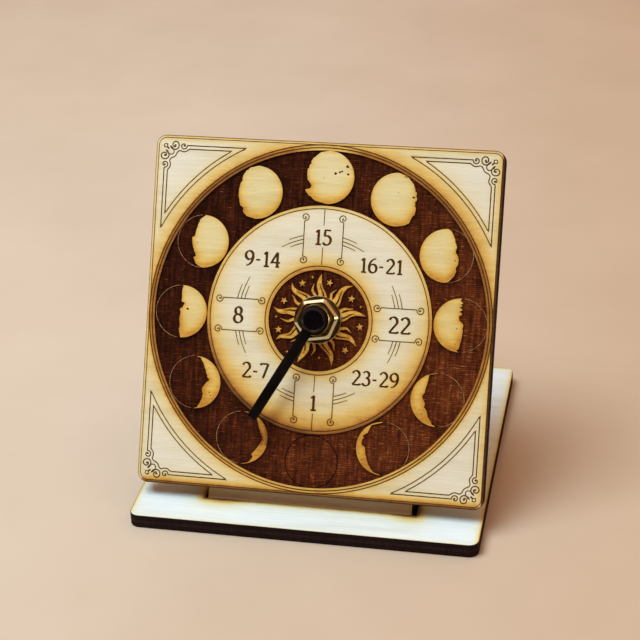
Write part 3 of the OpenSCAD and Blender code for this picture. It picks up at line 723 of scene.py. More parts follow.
def figures(text, cx, cy, h):
    gap = 0.13
    total = sum(FIG[c][0] for c in text) + gap * (len(text) - 1)
    x = cx - total * h / 2
    for k, c in enumerate(text):
        w, strokes = FIG[c]
        for j, (kind, pts) in enumerate(strokes):
            P = [(x + px * h, cy + (py - 0.5) * h) for px, py in pts]
            stroke("glyph|%s%d%d%.1f" % (c, k, j, cx), P, 0.30 * h / 3.6, closed=(kind == "c"), pen=(PEN[0], PEN[1] * h / 3.6))
        x += (w + gap) * h


figures("15", 0.1, 23.3, 4.3)
figures("1", 0.1, -23.6, 4.3)
figures("8", -23.1, -0.1, 4.6)
figures("22", 23.3, -0.1, 4.6)
figures("9-14", -17.0, 16.2, 4.3)
figures("16-21", 17.2, 16.2, 4.1)
figures("2-7", -17.2, -15.6, 4.3)
figures("23-29", 17.4, -15.6, 4.1)

# corner frames with scrolls, drawn for the upper right and mirrored
CW = 0.29


def corner(sx, sy):
    def M2(p):
        return (sx * (p[0] + 0.2), sy * p[1] - 0.12)

    def both(tag, pts, w, w2=None, wm=None):
        for q in (pts, [(p[1], p[0]) for p in pts]):
            if wm:
                leaf(tag, [M2(p) for p in q], w, wm, w2)
            else:
                stroke(tag, [M2(p) for p in q], w, w2=w2)

    def leaf(tag, pts, w0, wm, w2):
        L, R = [], []
        n = len(pts)
        for i, (x, y) in enumerate(pts):
            p, q = pts[max(i - 1, 0)], pts[min(i + 1, n - 1)]
            l = math.hypot(q[0] - p[0], q[1] - p[1])
            h = max(spline((w0, wm, wm, w2), i / (n - 1)), 0.05) / 2
            L.append((x - (q[1] - p[1]) / l * h, y + (q[0] - p[0]) / l * h))
            R.append((x + (q[1] - p[1]) / l * h, y - (q[0] - p[0]) / l * h))
        poly(tag, L + R[::-1])

    def dots(x, y, r):
        for q in ((x, y), (y, x)):
            c = M2(q)
            poly("line|e", circle_pts(c[0], c[1], r, 14))
    both("line|c1", seg((24.2, 47.3), (40.85, 47.3)), CW)
    R1, R2 = 52.75, 53.9
    a0 = math.degrees(math.acos(47.3 / R1))
    stroke("line|c2", [M2(p) for p in arc(0, 0, R1, a0 + 0.4, 90 - a0 - 0.4, 90)], CW - 0.03)
    b0 = math.degrees(math.acos(46.3 / R2))
    stroke("line|c3", [M2(p) for p in arc(0, 0, R2, b0 + 0.4, 90 - b0 - 0.4, 80)], CW - 0.03)
    # small arrowheads at the sharp tips
    for (x, y, an, l) in ((23.35, 47.43, -14, 1.15), (27.5, 46.40, -16, 0.95)):
        t = [(x, y + 0.12), (x + l, y - 0.02), (x + l * 0.8, y - 0.50), (x + 0.1, y - 0.10)]
        poly("line|d", [M2(p) for p in t])
        poly("line|d", [M2((p[1], p[0])) for p in t])
    key = [(39.95, 46.29), (40.32, 46.13), (40.65, 45.87), (41.1, 45.58), (41.6, 45.47), (42.2, 45.56), (42.7, 45.75), (43.0, 45.73), (43.3, 45.56), (43.6, 45.25), (43.8, 44.85), (43.98, 44.42), (44.2, 44.2)]
    both("line|c4", seg((28.0, 46.29), (39.8, 46.29)) + key, CW)
    # scrolls
    both("line|s1", curl(41.67, 47.12, (168, 225, 285, 345, 405, 465, 520), (0.86, 0.84, 0.82, 0.82, 0.70, 0.52, 0.26)), 0.30)
    dots(41.60, 47.17, 0.30)
    both("line|s2", curl(44.15, 47.27, (-50, -95, -140, -185, -230, -275, -320, -365, -410, -450), (1.34, 1.18, 1.03, 0.94, 1.0, 1.06, 1.02, 0.88, 0.62, 0.34), 40), 0.32)
    dots(44.30, 47.22, 0.33)
    both("line|s3", seg((44.80, 46.05), (45.95, 47.10)), 0.30, 0.06, 0.56)
    stroke("line|s4", [M2(p) for p in ((44.85, 46.15), (44.66, 45.75), (44.60, 45.35), (44.72, 44.98), (44.98, 44.72), (45.35, 44.60), (45.75, 44.66), (46.15, 44.85))], 0.28)
    # little bud in the very corner
    leaf("line|s5", [M2(p) for p in seg((46.05, 46.12), (46.80, 46.84))], 0.30, 0.50, 0.34)
    ring("line|s6", 0.50, 0.28, *M2((47.10, 47.10)))
    both("line|s7", [(46.80, 47.36), (46.62, 47.52), (46.44, 47.50)], 0.34, 0.16)


for sx in (-1, 1):
    for sy in (-1, 1):
        corner(sx, sy)

# ------------------------------------------------------------------ mesh builders
def terrace(POLYS, classify, depth, t, bev=0.0, extra=(), back_extra=(), outer="plate", wall_mat=0, side_mat=0, back_mat=0):
    """Board of thickness t, top at z 0, whose regions lie at their own depths. POLYS are (tag, outline). Closed mesh.
    Returns vertices, faces, material of each face, and the flat points and triangle classes for colouring."""
    V, F, tg = [], [], []
    for tag, pts in POLYS:
        i0 = len(V)
        V += [Vector(p) for p in pts]
        F.append(list(range(i0, i0 + len(pts))))
        tg.append(tag)
    V += [Vector(p) for p in extra]
    cv, ce, cf, ov, oe, of_ = delaunay_2d_cdt(V, [], F, 0, 1e-4, True)
    xy = np.array([(p[0], p[1]) for p in cv])
    tri, cls = [], []
    for f, s in zip(cf, of_):
        c = classify(set(tg[i] for i in s))
        if c is None:
            continue
        q = xy[list(f)]
        ar = (q[1][0] - q[0][0]) * (q[2][1] - q[0][1]) - (q[2][0] - q[0][0]) * (q[1][1] - q[0][1])
        if abs(ar) < 1e-7:
            continue
        tri.append(list(f) if ar > 0 else list(f)[::-1])
        cls.append(c)
    verts, faces, fmat, key = [], [], [], {}
    levels = {}

    def vid(i, d):
        k = (i, round(d, 3))
        if k not in key:
            key[k] = len(verts)
            verts.append((xy[i][0], xy[i][1], -d))
            levels.setdefault(i, set()).add(k[1])
        return key[k]

    edges = {}
    for f, c in zip(tri, cls):
        faces.append([vid(i, depth[c]) for i in f])
        fmat.append(c)
        for k in range(3):
            e = (f[k], f[(k + 1) % 3])
            edges.setdefault((min(e), max(e)), []).append((e, c))
    bound = [lst[0] for lst in edges.values() if len(lst) == 1]
    # loops of the boundary
    nxt = {e[0]: (e[1], c) for e, c in bound}
    loops, seen = [], set()
    for s in list(nxt):
        if s in seen:
            continue
        lp, a = [], s
        while a not in seen:
            seen.add(a)
            lp.append(a)
            a = nxt[a][0]
        loops.append(lp)
    loops.sort(key=lambda lp: -abs(area([tuple(xy[i]) for i in lp])))
    rim = set(loops[0])
    for i in nxt:
        if not (bev and i in rim):
            vid(i, t)
            levels[i].add(round(t, 3))

    def wall(a, b, hi, lo, mat):
        la = [v for v in sorted(levels[a]) if hi - 1e-6 <= v <= lo + 1e-6]
        lb = [v for v in sorted(levels[b], reverse=True) if hi - 1e-6 <= v <= lo + 1e-6]
        faces.append([vid(a, v) for v in la] + [vid(b, v) for v in lb])
        fmat.append(mat)

    for lst in edges.values():
        if len(lst) == 2:
            (e1, c1), (e2, c2) = lst
            d1, d2 = round(depth[c1], 3), round(depth[c2], 3)
            if d1 < d2:
                wall(e1[0], e1[1], d1, d2, wall_mat)
            elif d2 < d1:
                wall(e2[0], e2[1], d2, d1, wall_mat)
    h = None
    side_v = {}
    bottom = {}
    if bev:
        lp = loops[0]
        n = len(lp)
        for k, i in enumerate(lp):
            p, a, b = xy[i], xy[lp[k - 1]], xy[lp[(k + 1) % n]]
            d1, d2 = p - a, b - p
            n1 = np.array([d1[1], -d1[0]]) / (np.hypot(*d1) or 1)
            n2 = np.array([d2[1], -d2[0]]) / (np.hypot(*d2) or 1)
            nn = n1 + n2
            nn /= np.hypot(*nn)
            nn /= max(float(nn @ n1), 0.5)
            q = p + nn * bev
            for lv, (pt, z) in enumerate(((q, -bev), (q, -t + bev), (p, -t))):
                side_v[(i, lv)] = len(verts)
                verts.append((pt[0], pt[1], z))
            bottom[i] = side_v[(i, 2)]
    for i in nxt:
        if i not in bottom:
            bottom[i] = vid(i, t)
    for e, c in bound:
        a, b = e
        if bev and a in rim:
            v0, v1 = vid(a, depth[c]), vid(b, depth[c])
            faces += [[v1, v0, side_v[(a, 0)], side_v[(b, 0)]], [side_v[(b, 0)], side_v[(a, 0)], side_v[(a, 1)], side_v[(b, 1)]],
                      [side_v[(b, 1)], side_v[(a, 1)], side_v[(a, 2)], side_v[(b, 2)]]]
            fmat += [side_mat] * 3
        else:
            wall(a, b, round(depth[c], 3), round(t, 3), side_mat)
    # the back
    bp, bi, bf = [], [], []
    for lp in loops:
        if area([tuple(xy[i]) for i in lp]) < 0:
            lp = lp[::-1]
        i0 = len(bp)
        bp += [Vector((xy[i][0], xy[i][1])) for i in lp]
        bi += [bottom[i] for i in lp]
        bf.append(list(range(i0, i0 + len(lp))))
    for p in back_extra:
        bp.append(Vector(p))
        bi.append(None)
    bv, _, bt, bo, _, bof = delaunay_2d_cdt(bp, [], bf, 0, 1e-4, True)
    new = []
    for i, p in enumerate(bv):
        k = next((bi[j] for j in bo[i] if bi[j] is not None), None)
        if k is None:
            k = len(verts)
            verts.append((p[0], p[1], -t))
        new.append(k)
    for f, s in zip(bt, bof):
        if set(s) != {0}:
            continue
        q = [bv[i] for i in f]
        ar = (q[1][0] - q[0][0]) * (q[2][1] - q[0][1]) - (q[2][0] - q[0][0]) * (q[1][1] - q[0][1])
        f = list(f) if ar < 0 else list(f)[::-1]
        faces.append([new[i] for i in f])
        fmat.append(back_mat)
    return verts, faces, fmat, xy, tri, cls, edges


def clean(verts, faces, fmat, *arrays):
    """Drops vertices that no face uses."""
    used = np.zeros(len(verts), bool)
    for f in faces:
        used[f] = True
    idx = np.cumsum(used) - 1
    return [v for v, u in zip(verts, used) if u], [[int(idx[i]) for i in f] for f in faces], fmat, used


def fillet(pts, rads, seg=4, closed=True):
    """Rounds the corners of a 2-D outline."""
    n = len(pts)
    out = []
    for i in range(n):
        r = rads if isinstance(rads, (int, float)) else rads[i]
        p = np.array(pts[i], float)
        if r <= 0 or (not closed and i in (0, n - 1)):
            out.append(tuple(p))
            continue
        a, b = np.array(pts[i - 1], float) - p, np.array(pts[(i + 1) % n], float) - p
        la, lb = np.hypot(*a), np.hypot(*b)
        a, b = a / la, b / lb
        cosang = float(np.clip(a @ b, -1, 1))
        half = math.acos(cosang) / 2
        if half > math.pi / 2 - 0.02:
            out.append(tuple(p))
            continue
        d = min(r / math.tan(half), la * 0.48, lb * 0.48)
        r2 = d * math.tan(half)
        c = p + (a + b) / np.hypot(*(a + b)) * (r2 / math.sin(half))
        s, e = p + a * d, p + b * d
        a0 = math.atan2(*(s - c)[::-1])
        a1 = math.atan2(*(e - c)[::-1])
        da = (a1 - a0 + math.pi) % (2 * math.pi) - math.pi
        for k in range(seg + 1):
            an = a0 + da * k / seg
            out.append((c[0] + r2 * math.cos(an), c[1] + r2 * math.sin(an)))
    return out


def spin(name, prof, mats, n=96, fmat=None, closed=True, sharp=38, offset=(0, 0, 0)):
    """Turned part round +z: prof is a list of (r, z), anticlockwise in the r-z plane, or a function of the angle."""
    fn = prof if callable(prof) else (lambda a: prof)
    verts, idx = [], []
    for i in range(n):
        a = 2 * math.pi * i / n
        row = []
        for j, (r, z) in enumerate(fn(a)):
            if r < 1e-9:
                if i == 0:
                    row.append(len(verts))
                    verts.append((0, 0, z))
                else:
                    row.append(idx[0][j])
            else:
                row.append(len(verts))
                verts.append((r * math.cos(a), r * math.sin(a), z))
        idx.append(row)
    k = len(idx[0])
    faces, fm = [], []
    for i in range(n):
        A, B = idx[i], idx[(i + 1) % n]
        for j in range(k if closed else k - 1):
            j2 = (j + 1) % k
            f = []
            for v in (A[j], B[j], B[j2], A[j2]):
                if v not in f:
                    f.append(v)
            if len(f) > 2:
                faces.append(f)
                fm.append(fmat[j] if fmat else 0)
    verts = [(v[0] + offset[0], v[1] + offset[1], v[2] + offset[2]) for v in verts]
    return shaded(mesh_object(name, verts, faces, mats, fm), sharp)


def shaded(ob, sharp=38):
    ob.data.polygons.foreach_set("use_smooth", np.ones(len(ob.data.polygons), bool))
    ob.data.set_sharp_from_angle(angle=math.radians(sharp))
    return ob


def prism(name, outline, holes, z0, z1, bev, mats, bev_low=None, seg=3, sharp=38, cap_mat=0, side_mat=0):
    """Flat part from z0 to z1 with rounded edges."""
    bl = bev if bev_low is None else bev_low
    P = np.array(ccw([tuple(p) for p in outline]), float)
    n = len(P)
    nn = []
    for k in range(n):
        d1, d2 = P[k] - P[k - 1], P[(k + 1) % n] - P[k]
        n1 = np.array([d1[1], -d1[0]]) / (np.hypot(*d1) or 1)
        n2 = np.array([d2[1], -d2[0]]) / (np.hypot(*d2) or 1)
        q = n1 + n2
        q /= (np.hypot(*q) or 1)
        nn.append(q / max(float(q @ n1), 0.5))
    nn = np.array(nn)
    rows = []
    for s in range(seg + 1):
        a = math.pi / 2 * s / seg
        rows.append((bev * (1 - math.sin(a)), z1 - bev * (1 - math.cos(a))))
    for s in range(seg + 1):
        a = math.pi / 2 * s / seg
        rows.append((bl * (1 - math.cos(a)), z0 + bl * (1 - math.sin(a))))
    verts, ring_i = [], []
    for ins, z in rows:
        ring_i.append(list(range(len(verts), len(verts) + n)))
        verts += [(p[0], p[1], z) for p in P - nn * ins]
    faces, fm = [], []
    for a, b in zip(ring_i[:-1], ring_i[1:]):
        for k in range(n):
            k2 = (k + 1) % n
            faces.append([a[k2], a[k], b[k], b[k2]])
            fm.append(side_mat)
    hv = []
    for h in holes:
        h = ccw([tuple(p) for p in h])[::-1]
        top = list(range(len(verts), len(verts) + len(h)))
        verts += [(p[0], p[1], z1) for p in h]
        bot = list(range(len(verts), len(verts) + len(h)))
        verts += [(p[0], p[1], z0) for p in h]
        m_ = len(h)
        for k in range(m_):
            k2 = (k + 1) % m_
            faces.append([top[k2], top[k], bot[k], bot[k2]])
            fm.append(side_mat)
        hv.append((top, bot))
    for which in (0, 1):
        idx = list(ring_i[0] if which == 0 else ring_i[-1])
        loops = [list(range(len(idx)))]
        for hp in hv:
            i0 = len(idx)
            idx += hp[which]
            loops.append(list(range(i0, len(idx)))[::-1])
        pv = [Vector((verts[i][0], verts[i][1])) for i in idx]
        bv, _, bt, bo, _, bof = delaunay_2d_cdt(pv, [], loops, 0, 1e-5, True)
        for f, s in zip(bt, bof):
            if set(s) != {0}:
                continue
            q = [bv[i] for i in f]
            ar = (q[1][0] - q[0][0]) * (q[2][1] - q[0][1]) - (q[2][0] - q[0][0]) * (q[1][1] - q[0][1])
            if (ar > 0) != (which == 0):
                f = list(f)[::-1]
            faces.append([idx[bo[i][0]] for i in f])
            fm.append(cap_mat)
    return shaded(mesh_object(name, verts, faces, mats, fm), sharp)


def put(ob, mtx, body, *nodes, slot=None):
    ob.matrix_world = mtx
    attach(ob, body)
    if nodes:
        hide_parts(*nodes)
    return ob


def mesh_object(name, verts, faces, mats, fmat=None):
    me = bpy.data.meshes.new(name)
    me.from_pydata([(v[0] * MM, v[1] * MM, v[2] * MM) for v in verts], [], faces)
    for mt in mats:
        me.materials.append(mt)
    if fmat is not None:
        me.polygons.foreach_set("material_index", np.array(fmat, np.int32))
    me.update()
    ob = bpy.data.objects.new(name, me)
    COL.objects.link(ob)
    return ob


# ------------------------------------------------------------------ engraved dial plate
def dial_class(s):
    if "plate" not in s or "hole" in s:
        return None
    pos, neg = set(), set()
    in_moon = in_ray = in_gap = in_pit = False
    for n in s:
        if n.startswith(("line|", "glyph|", "outl|", "newl|")):
            if n.endswith("+"):
                pos.add(n[:-1])
            elif n.endswith("~"):
                neg.add(n[:-1])
            else:
                pos.add(n)
        elif n.startswith("moon"):
            in_moon = True
        elif n.endswith("~gap"):
            in_gap = True
        elif n.startswith(("ray", "sray", "star")):
            in_ray = True
        elif n.startswith("pit|"):
            in_pit = True
    live = pos - neg
    if in_moon and in_pit:
        return PIT
    ground = ("A_out" in s and "A_in" not in s and not in_moon) or ("S_out" in s and (not in_ray or in_gap))
    if any(n.startswith("glyph|") for n in live):
        return GLYPH
    if any(n.startswith("line|") for n in live):
        return LINE
    if ground:
        if any(n.startswith("outl|") for n in live):
            return OUTL
        if any(n.startswith("newl|") for n in live):
            return NEWL
        return GROUND
    if in_moon or ("S_out" in s and in_ray):
        return MOON
    return TOP


DEPTH = {TOP: 0.0, MOON: 0.0, PIT: 0.2, GROUND: 0.38, LINE: 0.11, GLYPH: 0.16, OUTL: 0.24, NEWL: 0.46}
g = np.random.RandomState(5)
grid = []
for gx in np.arange(-HALF + 0.6, HALF - 0.5, 0.8):
    for gy in np.arange(-HALF + 0.6, HALF - 0.5, 0.8):
        grid.append((gx + g.uniform(-0.15, 0.15), gy + g.uniform(-0.15, 0.15)))
for t in np.arange(-HALF + 1.2, HALF - 1.0, 1.0):
    for d in (0.34, 0.50, 1.15):
        grid += [(t, HALF - d), (t, -HALF + d), (HALF - d, t), (-HALF + d, t)]
back_grid = [(x, y) for x in np.arange(-46, 47, 4.0) for y in np.arange(-46, 47, 4.0) if math.hypot(x, y) > 6]
verts, faces, fmat, xy, tri, cls, edges = terrace(POLY, dial_class, DEPTH, PLY, BEV, grid, back_grid, wall_mat=WALL, side_mat=EDGE, back_mat=BACK)
verts, faces, fmat, used = clean(verts, faces, fmat)

# scorch: how much the laser browned the wood, per vertex
burn_pts, line_pts = [], []
for e, lst in edges.items():
    if len(lst) == 2:
        c1, c2 = lst[0][1], lst[1][1]
        if PIT in (c1, c2):
            continue
        if (c1 in (GROUND, OUTL, NEWL)) != (c2 in (GROUND, OUTL, NEWL)):
            a, b = xy[e[0]], xy[e[1]]
            burn_pts += [tuple(a), tuple((a + b) / 2)]
for f, c in zip(tri, cls):
    if c in (LINE, GLYPH):
        line_pts.append(tuple(xy[f].mean(0)))


def kd(pts):
    t = KDTree(len(pts))
    for i, p in enumerate(pts):
        t.insert((p[0], p[1], 0), i)
    t.balance()
    return t


OUT_A = (-180, -158, -135, -112, -90, -68, -45, -22, 0, 45, 78, 85, 95, 102, 135, 180)
OUT_K = (0.80, 0.78, 0.74, 0.56, 0.48, 0.44, 0.58, 0.74, 0.80, 0.90, 0.78, 0.42, 0.42, 0.78, 0.92, 0.80)
OUT_F = (0.30, 0.26, 0.20, 0.26, 0.34, 0.24, 0.10, 0.22, 0.38, 0.42, 0.33, 0.30, 0.30, 0.33, 0.34, 0.30)
IN_D = (0.0, 0.4, 1.2, 1.8, 2.8)
IN_A = (0.31, 0.26, 0.10, 0.07, 0.05)
IN_B = (0.52, 0.50, 0.54, 0.47, 0.42)
kb, kl = kd(burn_pts), kd(line_pts)
scorch = np.zeros(len(verts), np.float32)
for i, (x, y, z) in enumerate(verts):
    de = max(min(HALF - abs(x), HALF - abs(y)), 0.0)
    if z < -1.0:
        scorch[i] = 0.46 * math.exp(-de / 0.6) + 0.05 * math.exp(-de / 4)
        continue
    db = kb.find((x, y, 0))[2]
    dl = kl.find((x, y, 0))[2]
    r = math.hypot(x, y)
    down = 0.5 - 0.5 * y / max(r, 1e-6)                       # 1 at the bottom, 0 at the top
    ang = math.degrees(math.atan2(y, x))
    rin = R_IN - math.hypot(x - INC[0], y - INC[1])
    rsun = math.hypot(x - RC[0], y - RC[1]) - R_SUN
    if r > R_OUT - 0.3:
        # gold between the two lines and outside them, strongest above
        d = r - R_OUT
        s = np.interp(ang, OUT_A, OUT_K) * np.interp(d, (0.0, 0.5, 1.1, 1.5, 1.9, 2.2), (0.84, 0.74, 0.72, 0.66, 0.40, 0.0))
        s = max(s, np.interp(ang, OUT_A, OUT_F) * np.interp(d, (0.0, 1.9, 3.0, 4.2, 5.4, 7.0, 9.5, 13.0), (1.2, 1.1, 0.92, 0.72, 0.50, 0.28, 0.12, 0.02)))
    elif rin > -0.3 and rsun > -0.2:
        s = np.interp(rin, IN_D, IN_A) + np.interp(rin, IN_D, IN_B) * down
        if rin > 2.8:
            s = (0.05 + 0.42 * down) * math.exp(-(rin - 2.8) / (1.6 + 4.2 * down))
        s *= 1.0 + 0.10 * math.sin(math.radians(3 * ang + 140)) - 0.16 * max(0.0, math.cos(math.radians(ang - 8))) ** 3
        s = max(s, np.interp(rsun, (0.0, 0.6, 1.2, 2.2, 4.0, 6.5), (0.52, 0.44, 0.36, 0.27, 0.17, 0.04)) * (1.08 - 0.30 * down))
    elif r <= R_SUN:
        s = 0.26 + 0.28 * math.exp(-db / 0.25)
    else:
        mx, my = min(MOON_C, key=lambda q: (x - q[0]) ** 2 + (y - q[1]) ** 2)
        low = 0.5 - 0.5 * (y - my) / MR
        dn = 0.5 - 0.5 * my / 40.0
        s = (0.00 if (mx < -25 and my > -5) else 0.04) + 0.20 * dn + (0.10 + 0.26 * low) * math.exp(-db / 0.45) + (0.11 + 0.46 * low * low) * math.exp(-db / 2.5)
        if mx < -15 and my < -30 and y > my - 2:
            s += 0.12
        if z > -0.1:
            s = min(s, 0.46 + 0.05 * dn + (0.30 if (mx < -15 and my < -30 and y > my - 2) else 0.0))
    s += 0.12 * math.exp(-dl / 0.22)
    if HALF + y < de + 1e-6:
        q = (0.92, 0.78, 0.64, 0.56, 0.44, 0.32)
    elif HALF - x < de + 1e-6:
        q = (0.97, 0.95, 0.84, 0.33, 0.26, 0.25)
    elif HALF + x < de + 1e-6:
        q = (0.42, 0.23, 0.16, 0.18, 0.15, 0.12)
    else:
        q = (0.54, 0.27, 0.20, 0.26, 0.20, 0.12)
    # dark along the very edge, tan behind the scored line, gold further in
    s = max(s, np.interp(de, (0.15, 0.40, 0.66, 0.86, 1.3, 1.8), q)) if de < 1.8 else max(s, q[5] * math.exp(-(de - 1.8) / 1.9))
    s += 0.02
    scorch[i] = min(s, 1.0)

dial = mesh_object("engraved_dial", verts, faces, MATS_DIAL, fmat)
dial.data.attributes.new("scorch", "FLOAT", "POINT").data.foreach_set("value", scorch)
put(dial, DIAL, "stand", "face_plate", slot="dial_plywood")
print("dial", len(verts), "verts", len(faces), "faces")


# ------------------------------------------------------------------ base and backing plate
def board(name, w0, h0, w1, h1, r, t, bev, hole_list, grid_step, scorch_fn, mats):
    """Plywood board with corners (w0, h0) and (w1, h1), top at z 0. mats: top, edge, underside."""
    if r > 0:
        out = []
        for cx, cy, a in ((w1 - r, h1 - r, 0), (w0 + r, h1 - r, 90), (w0 + r, h0 + r, 180), (w1 - r, h0 + r, 270)):
            out += arc(cx, cy, r - bev, a, a + 90, 12)
    else:
        out = seg((w0 + bev, h0 + bev), (w1 - bev, h0 + bev), (w1 - bev, h1 - bev), (w0 + bev, h1 - bev), (w0 + bev, h0 + bev))[:-1]
        out = [out[0]] + [p for i, p in enumerate(out[1:], 1) if i % 20 == 0 or p in ((w1 - bev, h0 + bev), (w1 - bev, h1 - bev), (w0 + bev, h1 - bev))]
    P = [("plate", ccw(out))] + [("hole%d" % i, ccw(h)) for i, h in enumerate(hole_list)]
    gx = np.arange(w0 + 0.5, w1 - 0.3, grid_step)
    gy = np.arange(h0 + 0.5, h1 - 0.3, grid_step)
    rr = np.random.RandomState(3)
    gr = [(x + rr.uniform(-0.2, 0.2), y + rr.uniform(-0.2, 0.2)) for x in gx for y in gy]
    # closely spaced rows along the rim, where the scorch falls off fast
    for d in (0.35, 0.8, 1.4):
        gr += [(x, h0 + d) for x in gx] + [(x, h1 - d) for x in gx] + [(w0 + d, y) for y in gy] + [(w1 - d, y) for y in gy]
    cl = lambda s: None if "plate" not in s or any(n.startswith("hole") for n in s) else 0
    v, f, fm, xy_, tri_, cls_, ed_ = terrace(P, cl, {0: 0.0}, t, bev, gr, [(x, y) for x in gx[::5] for y in gy[::5]], wall_mat=1, side_mat=1, back_mat=2)
    v, f, fm, _ = clean(v, f, fm)
    ob = mesh_object(name, v, f, mats, fm)
    s = np.array([scorch_fn(x, y, z) for x, y, z in v], np.float32)
    ob.data.attributes.new("scorch", "FLOAT", "POINT").data.foreach_set("value", np.clip(s, 0, 1))
    return ob


TAB_Y0 = (0.15 - DIAL_Z + 2 * PLY * SL) / CL
SLOT0 = DIAL_Y + TAB_Y0 * SL + PLY * CL - 0.1
SLOT1 = DIAL_Y + (PLY + 2 * PLY * SL - DIAL_Z) / CL * SL + 2 * PLY * CL + 0.04
SX0, SX1 = -30.15, 31.05
m_base_top = birch("birch_base", "x", base=srgb(220, 236, 243), attr="scorch")
m_base_edge = ply_edge("ply_edge_base", 2, 0.0, PLY, cols=((26, 18, 21), (36, 26, 29), (48, 34, 34), (66, 46, 40)))
# birch colour pushed lighter and warmer than the dial's own birch: painted light, lifting the strip below the dial that
# lies in shade
m_backing_birch_painted_light = birch("backing_birch_painted_light", "x", base=srgb(246, 220, 186), attr="scorch")
m_back_edge = ply_edge("ply_edge_backing", 2, -2 * PLY, PLY)


def base_scorch(x, y, z):
    de = max(min(50 - abs(x), 50 - abs(y)), 0.0)
    if z < -1:
        return 0.44 * math.exp(-de / 0.45) + 0.22 * math.exp(-de / 1.5)
    # the front rim stayed pale, the rear and right rims are golden
    front = 50 + y < de + 1e-6
    side = 0.34 if front else (1.0 if (50 - y < de + 1e-6 or 50 - x < de + 1e-6) else 0.75)
    s = (0.46 if not front else 0.22) * math.exp(-de / 0.40) + 0.26 * side * math.exp(-de / 1.5)
    dx = max(SX0 - x, x - SX1, 0.0)
    dy = max(SLOT0 - y, y - SLOT1, 0.0)
    ds = math.hypot(dx, dy)
    # smoke went out along the slot, most of all towards its two ends
    ends = math.exp(-((x - SX0 - 4) / 7.0) ** 2) + math.exp(-((x - SX1 + 1) / 5.5) ** 2)
    s += 0.42 * math.exp(-ds / 0.55) + (0.20 + 0.48 * ends) * math.exp(-ds / 2.6)
    return s + 0.06 * math.exp(-math.hypot(dx / 2.2, dy / 1.4) / 4)


base = board("base_board", -50, -50, 50, 50, CORNER, PLY, 0.12, [seg((SX0, SLOT0), (SX1, SLOT0), (SX1, SLOT1), (SX0, SLOT1), (SX0, SLOT0))[:-1:6]], 1.3, base_scorch,
             [m_base_top, m_base_edge, m_base_top])
base_m = Matrix.Translation((0, 0, PLY * MM))
put(base, base_m, "stand", "base_plate", slot="plywood")


def backing_edge_burn_and_lower_darkening(x, y, z):
    de = max(min(29.75 - abs(x), y - TAB_Y0, 34 - y), 0.0)
    s = 0.30 * math.exp(-de / 0.5) + 0.08 * math.exp(-de / 1.5)
    # the last term makes the lower part of the board a little darker, over the strip that shows below the dial
    return s + 0.06 * math.exp(-max(y - TAB_Y0 - 5, 0) / 6)


backing = board("backing_board", -29.75, TAB_Y0, 29.75, 34, 0, PLY, 0.12, [circle_pts(0, 0, 4.2, 48)], 1.4, backing_edge_burn_and_lower_darkening, [m_backing_birch_painted_light, m_back_edge, m_backing_birch_painted_light])
put(backing, DIAL @ Matrix.Translation((0, 0, -PLY * MM)), "stand", "backing_plate", slot="plywood")

# ------------------------------------------------------------------ fixing and hand
m_brass = brass_mat("brass", (206, 203, 164), 0.10)
m_bush = brass_mat("brass_bush", (214, 200, 142), 0.26)
m_black = Mat("black_lacquer")
vec = m_black.coord()
n1 = m_black.noise(vec, 2200, 2, 0.6)
n2 = m_black.noise(vec, 220, 3, 0.6)
m_black.set(Base_Color=m_black.ramp(n2, [(0.3, srgb(3, 3, 4)), (0.7, srgb(8, 7, 8))]), Roughness=m_black.grey(n2, 0.30, 0.42, 0.3, 0.7), Normal=m_black.bump(n1, 0.12, 0.00005))
m_black.bsdf.inputs["Specular IOR Level"].default_value = 0.28
m_black = m_black.m
m_cap = Mat("gloss_black")
vec = m_cap.coord()
n2 = m_cap.noise(vec, 320, 3, 0.6)
m_cap.set(Base_Color=m_cap.ramp(n2, [(0.3, srgb(3, 2, 7)), (0.7, srgb(7, 5, 12))]), Roughness=m_cap.grey(n2, 0.20, 0.28, 0.3, 0.7), Normal=m_cap.bump(n2, 0.05, 0.00005))
m_cap.bsdf.inputs["Specular IOR Level"].default_value = 0.42
m_cap = m_cap.m
m_rubber = plastic_mat("rubber", (26, 25, 26), 0.72, 2400, 0.35, 0.3)

washer = spin("washer", fillet([(4.15, 0), (6.8, 0), (6.8, 0.6), (4.15, 0.6)], [0.05, 0.12, 0.12, 0.08]), [m_brass], 120)
put(washer, DIAL, "stand", "brass_washer", slot="brass")

AF = 11.3


def hexr(t, A, rho):
    """Radius of a hexagon with rounded corners, t = angle from the middle of a flat."""
    t = abs(t)
    if t < math.atan((A - rho) * math.tan(math.pi / 6) / A):
        return A / math.cos(t)
    d, q = (A - rho) / math.cos(math.pi / 6), math.pi / 6 - t
    return d * math.cos(q) + math.sqrt(rho ** 2 - (d * math.sin(q)) ** 2)


def nut_profile(a):
    t = (a - math.radians(9.5)) % math.radians(60) - math.radians(30)
    # corners worn round
    R = hexr(t, AF / 2, 1.2)
    Ri = hexr(t, AF / 2 - 0.8, 1.8)
    return [(4.03, 0.40), (4.40, 0.0), (R - 0.14, 0.0), (R - 0.03, 0.05), (R, 0.14), (R, 1.90), (R - 0.03, 1.98), (R - 0.09, 2.03),
            (Ri + 0.09, 2.44), (Ri + 0.02, 2.48), (Ri - 0.08, 2.5), (4.62, 2.5), (4.54, 2.48), (4.10, 2.08), (4.03, 1.98)]


nut = spin("nut", nut_profile, [m_brass], 360, sharp=18)
put(nut, DIAL @ Matrix.Translation((0, 0, 0.6 * MM)), "stand", "hex_nut", slot="brass")

# threaded neck: the thread shows in front of the nut
PITCH = 0.75
ZB0, ZB1 = -10.5, 4.0


